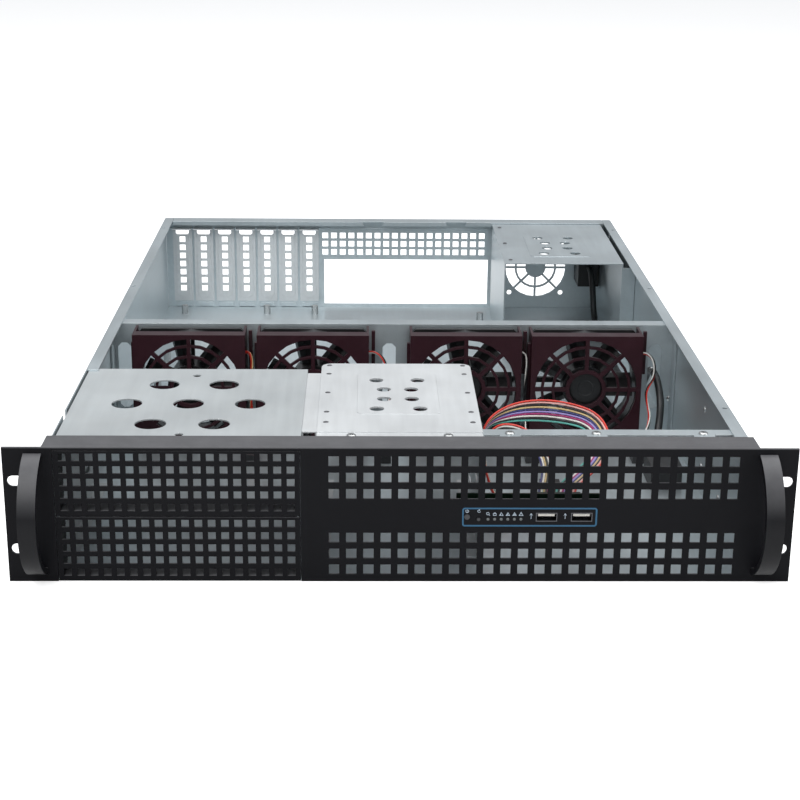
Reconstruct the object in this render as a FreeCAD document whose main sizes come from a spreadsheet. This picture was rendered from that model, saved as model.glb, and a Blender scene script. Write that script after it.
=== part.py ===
import FreeCAD, Part
import Sketcher
import math
import os

# A 2U rackmount server case with its lid off: a folded steel tray with a drive
# cage, a 5.25 inch bay cage, a rear cage, a wall of four clip-in fans, a
# perforated front panel with handles and a control row, and a rear panel with
# seven vented slot covers. Millimetres. X runs across the case, Y from front to
# rear and Z up. The origin is under the middle of the case, on the surface it
# stands on.

Vector = FreeCAD.Vector
Rotation = FreeCAD.Rotation

# Driving dimensions: alias, value.
DIMENSIONS = [
    # whole case
    ("rack_width", 482.6),
    ("case_height", 88.0),
    ("body_width", 430.0),
    ("case_depth", 641.0),
    ("steel", 1.2),
    ("cage_steel", 1.0),
    ("side_flange", 9.0),
    ("bend_radius", 1.5),
    ("lid_hole_radius", 1.8),
    # front panel
    ("lip_width", 435.0),
    ("lip_depth", 21.0),
    ("ear_slot_pitch", 44.45),
    ("ear_slot_middle", 232.55),
    ("ear_slot_length", 12.5),
    ("ear_slot_width", 6.8),
    ("mesh_pitch", 10.6),
    ("mesh_hole", 6.4),
    ("mesh_first", -41.4),
    ("mesh_low_row", 8.1),
    ("mesh_high_row", 58.1),
    ("mesh_columns", 24),
    ("mesh_rows", 3),
    ("bay_left", -211.2),
    ("bay_right", -61.6),
    ("bay_top", 86.0),
    # handles
    ("handle_reach", 30.0),
    ("handle_length", 79.0),
    ("handle_width", 11.0),
    ("handle_thick", 4.0),
    ("handle_middle", 222.8),
    ("handle_centre", 44.5),
    # bay covers
    ("cover_width", 148.8),
    ("cover_height", 42.2),
    ("cover_hole", 4.8),
    ("cover_pitch", 8.1),
    ("cover_columns", 18),
    ("cover_rows", 5),
    ("cover_rise", 0.8),
    ("cover_return", 12.0),
    ("lower_cover_base", 0.4),
    ("upper_cover_base", 43.4),
    # bay cage
    ("bay_cage_left", -212.5),
    ("bay_cage_right", -62.0),
    ("bay_cage_front", 2.2),
    ("bay_cage_rear", 161.0),
    ("bay_hole_radius", 10.0),
    ("bay_hole_pitch", 40.0),
    ("bay_hole_middle", 86.2),
    ("bay_pin_radius", 2.75),
    ("bay_pin_pitch", 119.4),
    # cages stamped alike
    ("cage_top", 86.8),
    ("cage_width", 103.6),
    ("cage_hole_radius", 4.8),
    ("cage_hole_pitch", 20.0),
    ("cage_hole_wide", 14.0),
    ("cage_hole_narrow", 9.1),
    ("cage_emboss_width", 53.4),
    ("cage_emboss_depth", 84.0),
    ("cage_emboss_rise", 0.4),
    ("cage_emboss_corner", 2.5),
    ("drive_cage_middle", -0.8),
    ("drive_cage_front", 22.0),
    ("drive_cage_fold", 33.4),
    ("drive_cage_rear", 175.0),
    ("drive_cage_corner", 7.0),
    ("rear_cage_middle", 150.8),
    ("rear_cage_front", 470.0),
    ("rear_cage_rear", 624.0),
    # strip and crossbar
    ("strip_left", -62.0),
    ("strip_right", -52.6),
    ("strip_front", 34.0),
    ("strip_rear", 154.0),
    ("crossbar_left", 51.0),
    ("crossbar_right", 213.8),
    ("crossbar_front", 28.0),
    ("crossbar_rear", 37.5),
    ("crossbar_drop", 12.0),
    ("crossbar_tab", 13.0),
    # fan wall and fans
    ("wall_front", 276.0),
    ("wall_flange", 10.0),
    ("wall_cable_width", 10.0),
    ("wall_cable_top", 71.5),
    ("wall_cable_bottom", 20.0),
    ("fan_front", 246.0),
    ("fan_size", 80.0),
    ("fan_depth", 25.0),
    ("fan_height", 44.6),
    ("fan_bore_radius", 38.0),
    ("fan_ear", 4.0),
    ("fan_hub_radius", 17.0),
    ("fan_one", -153.4),
    ("fan_two", -61.2),
    ("fan_three", 53.0),
    ("fan_four", 143.6),
    ("bracket_width", 83.4),
    ("bracket_face", 2.5),
    ("bracket_top", 10.0),
    ("guard_radius", 38.5),
    ("guard_outer", 33.0),
    ("guard_inner", 25.0),
    ("guard_hub", 15.5),
    ("guard_eye", 12.5),
    ("guard_rib", 2.0),
    ("guard_spoke", 3.0),
    ("blade_tip", 36.2),
    ("blade_thick", 1.2),
    ("blade_camber", 2.2),
    ("blade_chord", 20.0),
    ("blade_pitch", 42.0),
    ("spindle_radius", 2.0),
    ("spindle_gap", 0.05),
    # rear panel
    ("rear_ledge", 79.0),
    ("rear_ledge_depth", 2.2),
    ("rear_flange", 15.5),
    ("rear_lip", 3.6),
    ("slot_first", -198.2),
    ("slot_pitch", 20.32),
    ("slot_opening", 13.0),
    ("slot_low", 8.6),
    ("slot_cover_width", 18.3),
    ("slot_cover_low", 7.0),
    ("slot_emboss_width", 12.6),
    ("slot_hole", 5.6),
    ("slot_hole_pitch", 8.04),
    ("slot_hole_low", 19.8),
    ("slot_holes", 7),
    ("slot_window_width", 12.4),
    ("slot_window_height", 5.4),
    ("slot_window_low", 72.8),
    ("port_left", -61.9),
    ("port_width", 158.75),
    ("port_low", 4.2),
    ("port_height", 44.45),
    ("vent_hole", 5.6),
    ("vent_pitch", 8.4),
    ("vent_row_pitch", 8.1),
    ("vent_first", -60.8),
    ("vent_low", 55.9),
    ("vent_columns", 19),
    ("vent_rows", 3),
    ("grille_middle", 143.4),
    ("grille_height", 41.4),
    ("grille_radius", 29.0),
    ("grille_ring", 19.3),
    ("grille_hub", 10.0),
    ("grille_rib", 2.0),
    ("grille_screw_pitch", 50.0),
    ("grille_screw_radius", 2.4),
    # control row
    ("power_place", 40.1),
    ("power_height", 43.2),
    ("power_radius", 1.9),
    ("reset_place", 47.2),
    ("reset_height", 41.6),
    ("reset_radius", 1.2),
    ("button_gap", 0.15),
    ("button_proud", 0.6),
    ("lamp_first", 53.0),
    ("lamp_pitch", 4.04),
    ("lamp_radius", 0.9),
    ("usb_first", 88.9),
    ("usb_second", 110.5),
    ("usb_height", 43.0),
    ("usb_width", 13.1),
    ("usb_tall", 5.7),
    ("board_front", 12.0),
    ("header_left", 84.0),
    ("header_right", 110.0),
    ("header_depth", 8.0),
    ("header_low", 45.0),
    ("header_high", 51.0),
    # power inlet
    ("inlet_middle", 191.3),
    ("inlet_height", 50.0),
    ("inlet_width", 19.6),
    ("inlet_tall", 39.6),
    ("inlet_inside", 31.0),
    ("inlet_rim", 4.4),
    ("inlet_flange", 2.0),
    # cords: diameters, and the size of what is on their far ends
    ("lead_diameter", 5.6),
    ("ribbon_diameter", 5.0),
    ("fan_lead_diameter", 2.4),
    # motherboard standoffs
    ("standoff_left", -195.0),
    ("standoff_rear", 612.0),
    ("standoff_height", 8.0),
    ("standoff_corner", 3.2),
]


class Size:
    """A number together with the spreadsheet expression that gives it."""

    def __init__(self, value, text):
        self.value = float(value)
        self.text = text

    def joined(self, other, sign, value):
        return Size(value, "(%s %s %s)" % (self.text, sign, size(other).text))

    def __add__(self, other):
        return self.joined(other, "+", self.value + size(other).value)

    def __sub__(self, other):
        return self.joined(other, "-", self.value - size(other).value)

    def __mul__(self, other):
        return self.joined(other, "*", self.value * size(other).value)

    def __truediv__(self, other):
        return self.joined(other, "/", self.value / size(other).value)

    def __radd__(self, other):
        return size(other) + self

    def __rsub__(self, other):
        return size(other) - self

    def __rmul__(self, other):
        return size(other) * self

    def __neg__(self):
        return size(0) - self


def size(value):
    """Any number as a Size."""
    if isinstance(value, Size):
        return value
    return Size(value, repr(float(value)))


class Sheet:
    """The spreadsheet's aliases as attributes that are Sizes."""


doc = FreeCAD.newDocument("ServerCase")
table = doc.addObject("Spreadsheet::Sheet", "Sizes")
S = Sheet()
for row, (alias, number) in enumerate(DIMENSIONS, start=1):
    table.set("A%d" % row, alias)
    table.set("B%d" % row, str(number))
    table.setAlias("B%d" % row, alias)
    setattr(S, alias, Size(number, "Sizes." + alias))
doc.recompute()

NODES = []


def bind(thing, property_name, value):
    """Give a property the expression of a Size."""
    thing.setExpression(property_name, size(value).text)


def keep(thing, name):
    """Make an object a sub-part: its label is the name of its file."""
    thing.Label = name
    NODES.append(thing)
    return thing


# Places that many sub-parts share.
front = (S.handle_reach - S.case_depth) / 2
rear = front + S.case_depth
half_body = S.body_width / 2
inner_wall = half_body - S.steel
lid_seat = S.case_height - S.steel


def from_front(distance):
    """The place along Y at a distance behind the front panel's face."""
    return front + distance


# ---------------------------------------------------------------- primitives


def box(name, x, y, z):
    """A box between two places along each axis."""
    solid = doc.addObject("Part::Box", name)
    bind(solid, "Length", size(x[1]) - x[0])
    bind(solid, "Width", size(y[1]) - y[0])
    bind(solid, "Height", size(z[1]) - z[0])
    bind(solid, "Placement.Base.x", x[0])
    bind(solid, "Placement.Base.y", y[0])
    bind(solid, "Placement.Base.z", z[0])
    return solid


TURNS = {
    "x": Rotation(Vector(0, 1, 0), 90),
    "y": Rotation(Vector(1, 0, 0), -90),
    "z": Rotation(),
}


def prism(name, along, base, radius, length, sides):
    """A round piece of few faces, from a base point along an axis."""
    solid = doc.addObject("Part::Prism", name)
    solid.Polygon = sides
    bind(solid, "Circumradius", radius)
    bind(solid, "Height", length)
    solid.Placement = FreeCAD.Placement(Vector(), TURNS[along])
    bind(solid, "Placement.Base.x", base[0])
    bind(solid, "Placement.Base.y", base[1])
    bind(solid, "Placement.Base.z", base[2])
    return solid


def fused(name, solids):
    union = doc.addObject("Part::MultiFuse", name)
    union.Shapes = solids
    union.Refine = True
    return union


def cut(name, base, tools):
    tool = tools[0] if len(tools) == 1 else fused(name + "Tools", tools)
    rest = doc.addObject("Part::Cut", name)
    rest.Base = base
    rest.Tool = tool
    rest.Refine = True
    return rest


def grouped(name, solids):
    """Separate like solids that share one node."""
    group = doc.addObject("Part::Compound", name)
    group.Links = solids
    return group


# ------------------------------------------------------------ bodies and sketches

# The way each origin plane's sketch faces along its own axis.
FACING = {"XY_Plane": 1, "XZ_Plane": -1, "YZ_Plane": 1}


def origin_part(body, role):
    for part in body.Origin.OriginFeatures:
        if part.Role == role:
            return part
    raise ValueError("no origin feature " + role)


def body_at(name, x=0, y=0, z=0):
    """A body whose own origin is at a place in the case."""
    body = doc.addObject("PartDesign::Body", name)
    bind(body, "Placement.Base.x", x)
    bind(body, "Placement.Base.y", y)
    bind(body, "Placement.Base.z", z)
    return keep(body, name)


class Drawing:
    """A sketch on one of a body's origin planes, moved along that plane's axis.

    A point is a pair of Sizes: X and Z on XZ_Plane, Y and Z on YZ_Plane, and X
    and Y on XY_Plane.
    """

    def __init__(self, body, name, plane, level=0):
        self.body = body
        self.plane = plane
        self.sketch = body.newObject("Sketcher::SketchObject", name)
        self.sketch.AttachmentSupport = (origin_part(body, plane), [""])
        self.sketch.MapMode = "FlatFace"
        bind(self.sketch, "AttachmentOffset.Base.z", size(level) * FACING[plane])

    def limit(self, kind, *terms, value=None):
        if value is None:
            return self.sketch.addConstraint(Sketcher.Constraint(kind, *terms))
        index = self.sketch.addConstraint(Sketcher.Constraint(kind, *terms, value.value))
        self.sketch.setExpression("Constraints[%d]" % index, value.text)
        return index

    def hold(self, geometry, point, across, up):
        """Hold a point of some geometry at its distances from the origin."""
        for kind, axis, place in (("DistanceX", -2, across), ("DistanceY", -1, up)):
            place = size(place)
            if abs(place.value) < 1e-9:
                self.limit("PointOnObject", geometry, point, axis)
            else:
                self.limit(kind, -1, 1, geometry, point, value=place)

    def closed_lines(self, points):
        """Straight lines through some points and back; the first line's index."""
        places = [Vector(a.value, b.value, 0) for a, b in points]
        ends = places[1:] + places[:1]
        lines = [Part.LineSegment(one, two) for one, two in zip(places, ends)]
        first = self.sketch.addGeometry(lines, False)[0]
        joints = []
        for index in range(len(points)):
            following = first + (index + 1) % len(points)
            joints.append(Sketcher.Constraint("Coincident", first + index, 2, following, 1))
        self.sketch.addConstraint(joints)
        return first

    def outline(self, points):
        """A closed outline of straight lines, each corner held at its distances."""
        points = [(size(a), size(b)) for a, b in points]
        first = self.closed_lines(points)
        held = []
        texts = []
        for index, corner in enumerate(points):
            for kind, axis, place in zip(("DistanceX", "DistanceY"), (-2, -1), corner):
                if abs(place.value) < 1e-9:
                    held.append(Sketcher.Constraint("PointOnObject", first + index, 1, axis))
                    texts.append(None)
                else:
                    held.append(Sketcher.Constraint(kind, -1, 1, first + index, 1, place.value))
                    texts.append(place.text)
        start = self.sketch.ConstraintCount
        self.sketch.addConstraint(held)
        for index, text in enumerate(texts, start=start):
            if text is not None:
                self.sketch.setExpression("Constraints[%d]" % index, text)
        return self

    def rectangle(self, across, up):
        low, high = across
        bottom, top = up
        return self.outline([(low, bottom), (high, bottom), (high, top), (low, top)])

    def ring(self, across, up, radius, sides):
        """A circle of few faces, with a corner straight up."""
        across, up, radius = size(across), size(up), size(radius)
        turns = [math.tau * step / sides for step in range(sides)]
        corners = [(across + radius * math.sin(t), up + radius * math.cos(t)) for t in turns]
        first = self.closed_lines(corners)
        middle = Vector(across.value, up.value, 0)
        guide = self.sketch.addGeometry(Part.Circle(middle, Vector(0, 0, 1), radius.value), True)
        held = [Sketcher.Constraint("PointOnObject", first + step, 1, guide) for step in range(sides)]
        held += [Sketcher.Constraint("Equal", first, first + step) for step in range(1, sides)]
        self.sketch.addConstraint(held)
        self.hold(guide, 3, across, up)
        self.limit("Radius", guide, value=radius)
        self.limit("Vertical", guide, 3, first, 1)
        return self

    def soft_rectangle(self, across, up, corner):
        """A rectangle with cut corners."""
        (low, high), (bottom, top) = across, up
        return self.outline([
            (low + corner, bottom), (high - corner, bottom), (high, bottom + corner), (high, top - corner),
            (high - corner, top), (low + corner, top), (low, top - corner), (low, bottom + corner),
        ])

    def obround(self, across, up, half_width):
        """A slot between two end centres, along X or along Z."""
        (x0, x1), (z0, z1) = across, up
        x0, x1, z0, z1, half = size(x0), size(x1), size(z0), size(z1), size(half_width)
        start = Vector(x0.value, z0.value, 0)
        end = Vector(x1.value, z1.value, 0)
        angle = math.atan2(end.y - start.y, end.x - start.x)
        side = Vector(-math.sin(angle), math.cos(angle), 0) * half.value
        up_axis = Vector(0, 0, 1)
        quarter = math.pi / 2
        caps = [
            Part.ArcOfCircle(Part.Circle(start, up_axis, half.value), angle + quarter, angle + 3 * quarter),
            Part.ArcOfCircle(Part.Circle(end, up_axis, half.value), angle - quarter, angle + quarter),
        ]
        edges = [Part.LineSegment(start - side, end - side), Part.LineSegment(end + side, start + side)]
        first = self.sketch.addGeometry(caps + edges, False)[0]
        cap_a, cap_b, edge_a, edge_b = range(first, first + 4)
        self.limit("Tangent", cap_a, 2, edge_a, 1)
        self.limit("Tangent", edge_a, 2, cap_b, 1)
        self.limit("Tangent", cap_b, 2, edge_b, 1)
        self.limit("Coincident", edge_b, 2, cap_a, 1)
        self.hold(cap_a, 3, x0, z0)
        self.hold(cap_b, 3, x1, z1)
        self.limit("Radius", cap_a, value=half)
        return self

    def feature(self, kind, word):
        made = self.body.newObject("PartDesign::" + kind, self.sketch.Name + word)
        made.Profile = self.sketch
        self.body.Tip = made
        return made

    def pad(self, length, toward=1):
        """Add material along the plane's axis, toward +1 or -1."""
        made = self.feature("Pad", "Pad")
        bind(made, "Length", length)
        made.Reversed = toward * FACING[self.plane] < 0
        return made

    def pocket(self, depth, toward=1):
        """Take material away along the plane's axis, toward +1 or -1."""
        made = self.feature("Pocket", "Pocket")
        bind(made, "Length", depth)
        made.Reversed = toward * FACING[self.plane] > 0
        return made

    def pierce(self):
        """Cut right through the body, both ways."""
        made = self.feature("Pocket", "Pierce")
        made.Type = 1
        made.Midplane = True
        return made


def line_pattern(body, name, drawing, axis, count, pitch):
    row = doc.addObject("PartDesign::LinearPattern", name)
    row.Direction = (drawing.sketch, [axis])
    bind(row, "Length", (size(count) - 1) * pitch)
    bind(row, "Occurrences", count)
    return row


def grid(body, name, drawing, feature, columns, rows):
    """Repeat a feature over a grid: columns and rows are (count, pitch) pairs."""
    across = line_pattern(body, name + "Across", drawing, "H_Axis", *columns)
    up = line_pattern(body, name + "Up", drawing, "V_Axis", *rows)
    whole = body.newObject("PartDesign::MultiTransform", name)
    whole.Originals = [feature]
    whole.Transformations = [across, up]
    body.Tip = whole
    return whole


def row_of(body, name, drawing, feature, axis, count, pitch):
    whole = body.newObject("PartDesign::LinearPattern", name)
    whole.Originals = [feature]
    whole.Direction = (drawing.sketch, [axis])
    bind(whole, "Length", (size(count) - 1) * pitch)
    bind(whole, "Occurrences", count)
    body.Tip = whole
    return whole


def ring_of(body, name, feature, count, role="Y_Axis"):
    """Repeat a feature round the body's own axis."""
    whole = body.newObject("PartDesign::PolarPattern", name)
    whole.Originals = [feature]
    whole.Axis = (origin_part(body, role), [""])
    whole.Angle = 360
    whole.Occurrences = count
    body.Tip = whole
    return whole


def rounded(body, name, radius, wanted):
    """Fillet the tip's straight edges whose middle point the test accepts."""
    doc.recompute()
    base = body.Tip
    edges = []
    for index, edge in enumerate(base.Shape.Edges, start=1):
        if len(edge.Vertexes) == 2 and wanted(edge):
            edges.append("Edge%d" % index)
    made = body.newObject("PartDesign::Fillet", name)
    made.Base = (base, edges)
    bind(made, "Radius", radius)
    body.Tip = made
    return made


def runs_along(edge, axis):
    one, two = (vertex.Point for vertex in edge.Vertexes)
    step = two - one
    return abs(abs(step[axis]) - step.Length) < 1e-6


def middle_of(edge):
    one, two = (vertex.Point for vertex in edge.Vertexes)
    return (one + two) * 0.5


# ------------------------------------------------------------------- the tray


def make_tray():
    """Floor, side walls and lid flanges, folded from one sheet."""
    body = body_at("chassis_tray")
    flange = half_body - S.side_flange
    profile = Drawing(body, "TrayProfile", "XZ_Plane", from_front(S.steel))
    profile.outline([
        (-half_body, 0),
        (half_body, 0),
        (half_body, S.case_height),
        (flange, S.case_height),
        (flange, lid_seat),
        (inner_wall, lid_seat),
        (inner_wall, S.steel),
        (-inner_wall, S.steel),
        (-inner_wall, lid_seat),
        (-flange, lid_seat),
        (-flange, S.case_height),
        (-half_body, S.case_height),
    ])
    profile.pad(S.case_depth - S.steel)
    edge_x = half_body.value

    def outer_bend(edge):
        return runs_along(edge, 1) and abs(abs(middle_of(edge).x) - edge_x) < 1e-6

    rounded(body, "TrayBends", S.bend_radius, outer_bend)
    lip_room = Drawing(body, "TrayLipRoom", "XY_Plane", lid_seat)
    lip_room.rectangle((-S.rack_width / 2, S.rack_width / 2), (front, from_front(S.lip_depth + 0.4)))
    lip_room.pocket(10)
    open_flange = Drawing(body, "TrayOpenFlange", "XY_Plane", lid_seat)
    open_flange.rectangle((-inner_wall, -flange + 1), (front, from_front(155)))
    open_flange.pocket(10)
    notch = Drawing(body, "TrayNotch", "XY_Plane", S.case_height - 6)
    notch.rectangle((-half_body - 1, -inner_wall + 0.5), (from_front(59), from_front(72)))
    notch.pocket(10)
    lid_holes = Drawing(body, "TrayLidHoles", "XY_Plane", lid_seat - 1)
    hole_x = half_body - 4
    for distance in (382.2, 596.8):
        lid_holes.ring(-hole_x, from_front(distance), S.lid_hole_radius, 12)
    for distance in (76.3, 382.2, 596.8):
        lid_holes.ring(hole_x, from_front(distance), S.lid_hole_radius, 12)
    lid_holes.pocket(10)


# --------------------------------------------------------------- front panel


def make_front_panel():
    """Plate with rack ears, perforations, bay opening and a folded top lip."""
    body = body_at("front_panel")
    half_rack = S.rack_width / 2
    half_lip = S.lip_width / 2
    plate = Drawing(body, "PanelPlate", "XZ_Plane", front)
    plate.outline([
        (-half_rack, 0),
        (S.bay_left, 0),
        (S.bay_left, S.bay_top),
        (S.bay_right, S.bay_top),
        (S.bay_right, 0),
        (half_rack, 0),
        (half_rack, S.case_height),
        (-half_rack, S.case_height),
    ])
    plate.pad(S.steel)
    lip = Drawing(body, "PanelLip", "YZ_Plane", -half_lip)
    lip.rectangle((front, from_front(S.lip_depth)), (lid_seat, S.case_height))
    lip.pad(S.lip_width)
    doc.recompute()
    front_y = front.value
    top_z = S.case_height.value

    def lip_bend(edge):
        middle = middle_of(edge)
        long_edge = edge.Length > S.body_width.value
        return long_edge and abs(middle.y - front_y) < 1e-6 and abs(middle.z - top_z) < 1e-6

    rounded(body, "PanelBend", S.steel * 0.95, lip_bend)
    slots = Drawing(body, "PanelEarSlots", "XZ_Plane", front)
    reach = (S.ear_slot_length - S.ear_slot_width) / 2
    for side in (-1, 1):
        middle = S.ear_slot_middle * side
        for step in (-0.5, 0.5):
            height = S.case_height / 2 + S.ear_slot_pitch * step
            slots.obround((middle - reach, middle + reach), (height, height), S.ear_slot_width / 2)
    slots.pierce()
    row = Drawing(body, "PanelControlHoles", "XZ_Plane", front)
    row.ring(S.power_place, S.power_height, S.power_radius, 16)
    row.ring(S.reset_place, S.reset_height, S.reset_radius, 16)
    for middle in (S.usb_first, S.usb_second):
        row.rectangle(
            (middle - S.usb_width / 2, middle + S.usb_width / 2),
            (S.usb_height - S.usb_tall / 2, S.usb_height + S.usb_tall / 2),
        )
    row.pierce()
    half_hole = S.mesh_hole / 2
    for name, low in (("Low", S.mesh_low_row), ("High", S.mesh_high_row)):
        hole = Drawing(body, "PanelHole" + name, "XZ_Plane", front)
        hole.rectangle((S.mesh_first - half_hole, S.mesh_first + half_hole),
                       (low - half_hole, low + half_hole))
        first = hole.pierce()
        grid(body, "PanelMesh" + name, hole, first,
             (S.mesh_columns, S.mesh_pitch), (S.mesh_rows, S.mesh_pitch))


def make_handle(name, side):
    """A bow of flat bar that stands off the ear."""
    body = body_at(name, S.handle_middle * side - S.handle_width / 2, front, S.handle_centre)
    half = S.handle_length / 2
    radius = (half * half + S.handle_reach * S.handle_reach) / (S.handle_reach * 2)
    inner = radius - S.handle_thick
    centre = radius - S.handle_reach
    bow = Drawing(body, "HandleBow", "YZ_Plane")
    middle = Vector(centre.value, 0, 0)
    axis = Vector(0, 0, 1)
    lean = math.acos(centre.value / radius.value)
    inner_lean = math.acos(centre.value / inner.value)
    outer_arc = Part.ArcOfCircle(
        Part.Circle(middle, axis, radius.value), math.pi - lean, math.pi + lean)
    inner_arc = Part.ArcOfCircle(
        Part.Circle(middle, axis, inner.value), math.pi - inner_lean, math.pi + inner_lean)
    feet = []
    for foot_side in (1, -1):
        outer_end = Vector(0, foot_side * half.value, 0)
        inner_end = Vector(0, foot_side * inner.value * math.sin(inner_lean), 0)
        feet.append(Part.LineSegment(outer_end, inner_end))
    bow.sketch.addGeometry([outer_arc, inner_arc] + feet, False)
    outer, inside, top_foot, low_foot = range(4)
    bow.limit("Coincident", outer, 1, top_foot, 1)
    bow.limit("Coincident", inside, 1, top_foot, 2)
    bow.limit("Coincident", outer, 2, low_foot, 1)
    bow.limit("Coincident", inside, 2, low_foot, 2)
    bow.limit("PointOnObject", outer, 1, -2)
    bow.limit("PointOnObject", outer, 2, -2)
    bow.limit("PointOnObject", inside, 1, -2)
    bow.limit("PointOnObject", inside, 2, -2)
    bow.limit("Coincident", outer, 3, inside, 3)
    bow.hold(outer, 3, centre, 0)
    bow.limit("Radius", outer, value=radius)
    bow.limit("Radius", inside, value=inner)
    bow.pad(S.handle_width)


def make_cover(name, base):
    """A perforated blank for one 5.25 inch bay, with returns on four sides."""
    left = (S.bay_left + S.bay_right - S.cover_width) / 2
    body = body_at(name, left, front, base)
    wide, tall = S.cover_width, S.cover_height
    face = Drawing(body, name + "Face", "XZ_Plane")
    face.rectangle((0, wide), (0, tall))
    face.pad(S.steel)
    inset = size(2.4)
    low = size(2.2)
    sides = Drawing(body, name + "Returns", "XZ_Plane", S.steel)
    sides.rectangle((inset, wide - inset), (low, tall))
    sides.pad(S.cover_return)
    hollow = Drawing(body, name + "Hollow", "XZ_Plane", S.steel)
    wall = S.cage_steel
    hollow.rectangle((inset + wall, wide - inset - wall), (low + wall, tall - wall))
    hollow.pocket(S.cover_return + 1)
    half_hole = S.cover_hole / 2
    first_x = wide / 2 - (S.cover_columns - 1) * S.cover_pitch / 2
    first_z = tall / 2 - (S.cover_rows - 1) * S.cover_pitch / 2 + S.cover_rise
    hole = Drawing(body, name + "Hole", "XZ_Plane")
    hole.rectangle((first_x - half_hole, first_x + half_hole), (first_z - half_hole, first_z + half_hole))
    first = hole.pierce()
    grid(body, name + "Mesh", hole, first, (S.cover_columns, S.cover_pitch), (S.cover_rows, S.cover_pitch))


# ------------------------------------------------------------------ the cages


def make_bay_cage():
    """Cage of the two 5.25 inch bays: top, two walls and their feet."""
    body = body_at("bay_cage")
    left, right = S.bay_cage_left, S.bay_cage_right
    thick = S.cage_steel
    top = S.cage_top
    foot = size(8)
    floor = S.steel
    profile = Drawing(body, "BayProfile", "XZ_Plane", from_front(S.bay_cage_front))
    profile.outline([
        (left, top),
        (left, floor),
        (left + foot, floor),
        (left + foot, floor + thick),
        (left + thick, floor + thick),
        (left + thick, top - thick),
        (right - thick, top - thick),
        (right - thick, floor),
        (right + foot - thick, floor),
        (right + foot - thick, floor + thick),
        (right, floor + thick),
        (right, top),
    ])
    profile.pad(S.bay_cage_rear - S.bay_cage_front)
    middle = (left + right) / 2
    pitch = S.bay_hole_pitch
    rows = (((-0.5, -1), (0.5, -1)), ((-1, 0), (0, 0), (1, 0)), ((-0.5, 1), (0.5, 1)))
    for index, row in enumerate(rows):
        holes = Drawing(body, "BayHoleRow%d" % index, "XY_Plane", top - thick - 1)
        for across, along in row:
            place = (middle + pitch * across, from_front(S.bay_hole_middle + pitch * along))
            holes.ring(*place, S.bay_hole_radius, 24)
        holes.pocket(5)
    pins = Drawing(body, "BayPinHoles", "XY_Plane", top - thick - 1)
    for along in (-0.5, 0.5):
        pins.ring(middle, from_front(S.bay_hole_middle + S.bay_pin_pitch * along), S.bay_pin_radius, 12)
    pins.pocket(5)
    windows = Drawing(body, "BayWallSlots", "YZ_Plane")
    for height in (22, 66):
        for distance in (40, 110):
            windows.rectangle((from_front(distance), from_front(distance + 24)), (height, height + 6))
    windows.pierce()


def stamp_cage_top(body, name, middle, first_row, emboss_front):
    """The raised field and the eight holes that both small cages share."""
    top = S.cage_top
    rise = S.cage_emboss_rise
    half = S.cage_emboss_width / 2
    field = Drawing(body, name + "Field", "XY_Plane", top)
    field.soft_rectangle((middle - half, middle + half),
                         (emboss_front, emboss_front + S.cage_emboss_depth), S.cage_emboss_corner)
    field.pad(rise)
    for row, reach in enumerate((S.cage_hole_wide, S.cage_hole_narrow, S.cage_hole_narrow, S.cage_hole_wide)):
        holes = Drawing(body, "%sHoleRow%d" % (name, row), "XY_Plane", top - S.cage_steel - 1)
        along = first_row + S.cage_hole_pitch * row
        for side in (-1, 1):
            holes.ring(middle + reach * side, along, S.cage_hole_radius, 16)
        holes.pocket(5)


def make_drive_cage():
    """Cage of the 3.5 inch drives, with a stepped front flange."""
    body = body_at("drive_cage")
    thick = S.cage_steel
    top = S.cage_top
    floor = S.steel
    foot = size(8)
    middle = S.drive_cage_middle
    left = middle - S.cage_width / 2
    right = middle + S.cage_width / 2
    profile = Drawing(body, "DriveProfile", "XZ_Plane", from_front(S.drive_cage_fold))
    profile.outline([
        (left, top),
        (left, floor),
        (left + foot, floor),
        (left + foot, floor + thick),
        (left + thick, floor + thick),
        (left + thick, top - thick),
        (right - thick, top - thick),
        (right - thick, floor + thick),
        (right - foot, floor + thick),
        (right - foot, floor),
        (right, floor),
        (right, top),
    ])
    profile.pad(S.drive_cage_rear - S.drive_cage_fold)
    step = Drawing(body, "DriveStep", "XZ_Plane", from_front(S.drive_cage_fold))
    step.rectangle((left, right), (top - thick * 1.8, top))
    step.pad(size(1.2), toward=-1)
    ledge = Drawing(body, "DriveLedge", "XZ_Plane", from_front(S.drive_cage_front))
    ledge.rectangle((left, right), (top - thick * 1.8, top - thick * 0.8))
    ledge.pad(S.drive_cage_fold - S.drive_cage_front - 1.2)
    back = from_front(S.drive_cage_rear)
    open_end = Drawing(body, "DriveOpenEnd", "YZ_Plane")
    open_end.rectangle((back - S.drive_cage_corner, back + 1), (floor, top - thick))
    open_end.pierce()
    corners = Drawing(body, "DriveCorners", "XY_Plane", top - thick)
    round_off = S.drive_cage_corner
    for side, edge in ((-1, left), (1, right)):
        bend = []
        for turn in (math.pi / 2, math.pi / 3, math.pi / 6, 0):
            inward, forward = 1 - math.sin(turn), 1 - math.cos(turn)
            bend.append((edge - round_off * side * inward, back - round_off * forward))
        outside = [
            (edge - round_off * side, back + 1),
            (edge + side, back + 1),
            (edge + side, back - round_off),
        ]
        corners.outline(bend + outside)
    corners.pocket(5)
    stamp_cage_top(body, "Drive", middle, from_front(75.9), from_front(66.0))
    windows = Drawing(body, "DriveWallSlots", "YZ_Plane")
    for height in (16, 41, 66):
        for distance in (60, 120):
            windows.rectangle((from_front(distance), from_front(distance + 20)), (height, height + 5))
    windows.pierce()


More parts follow.
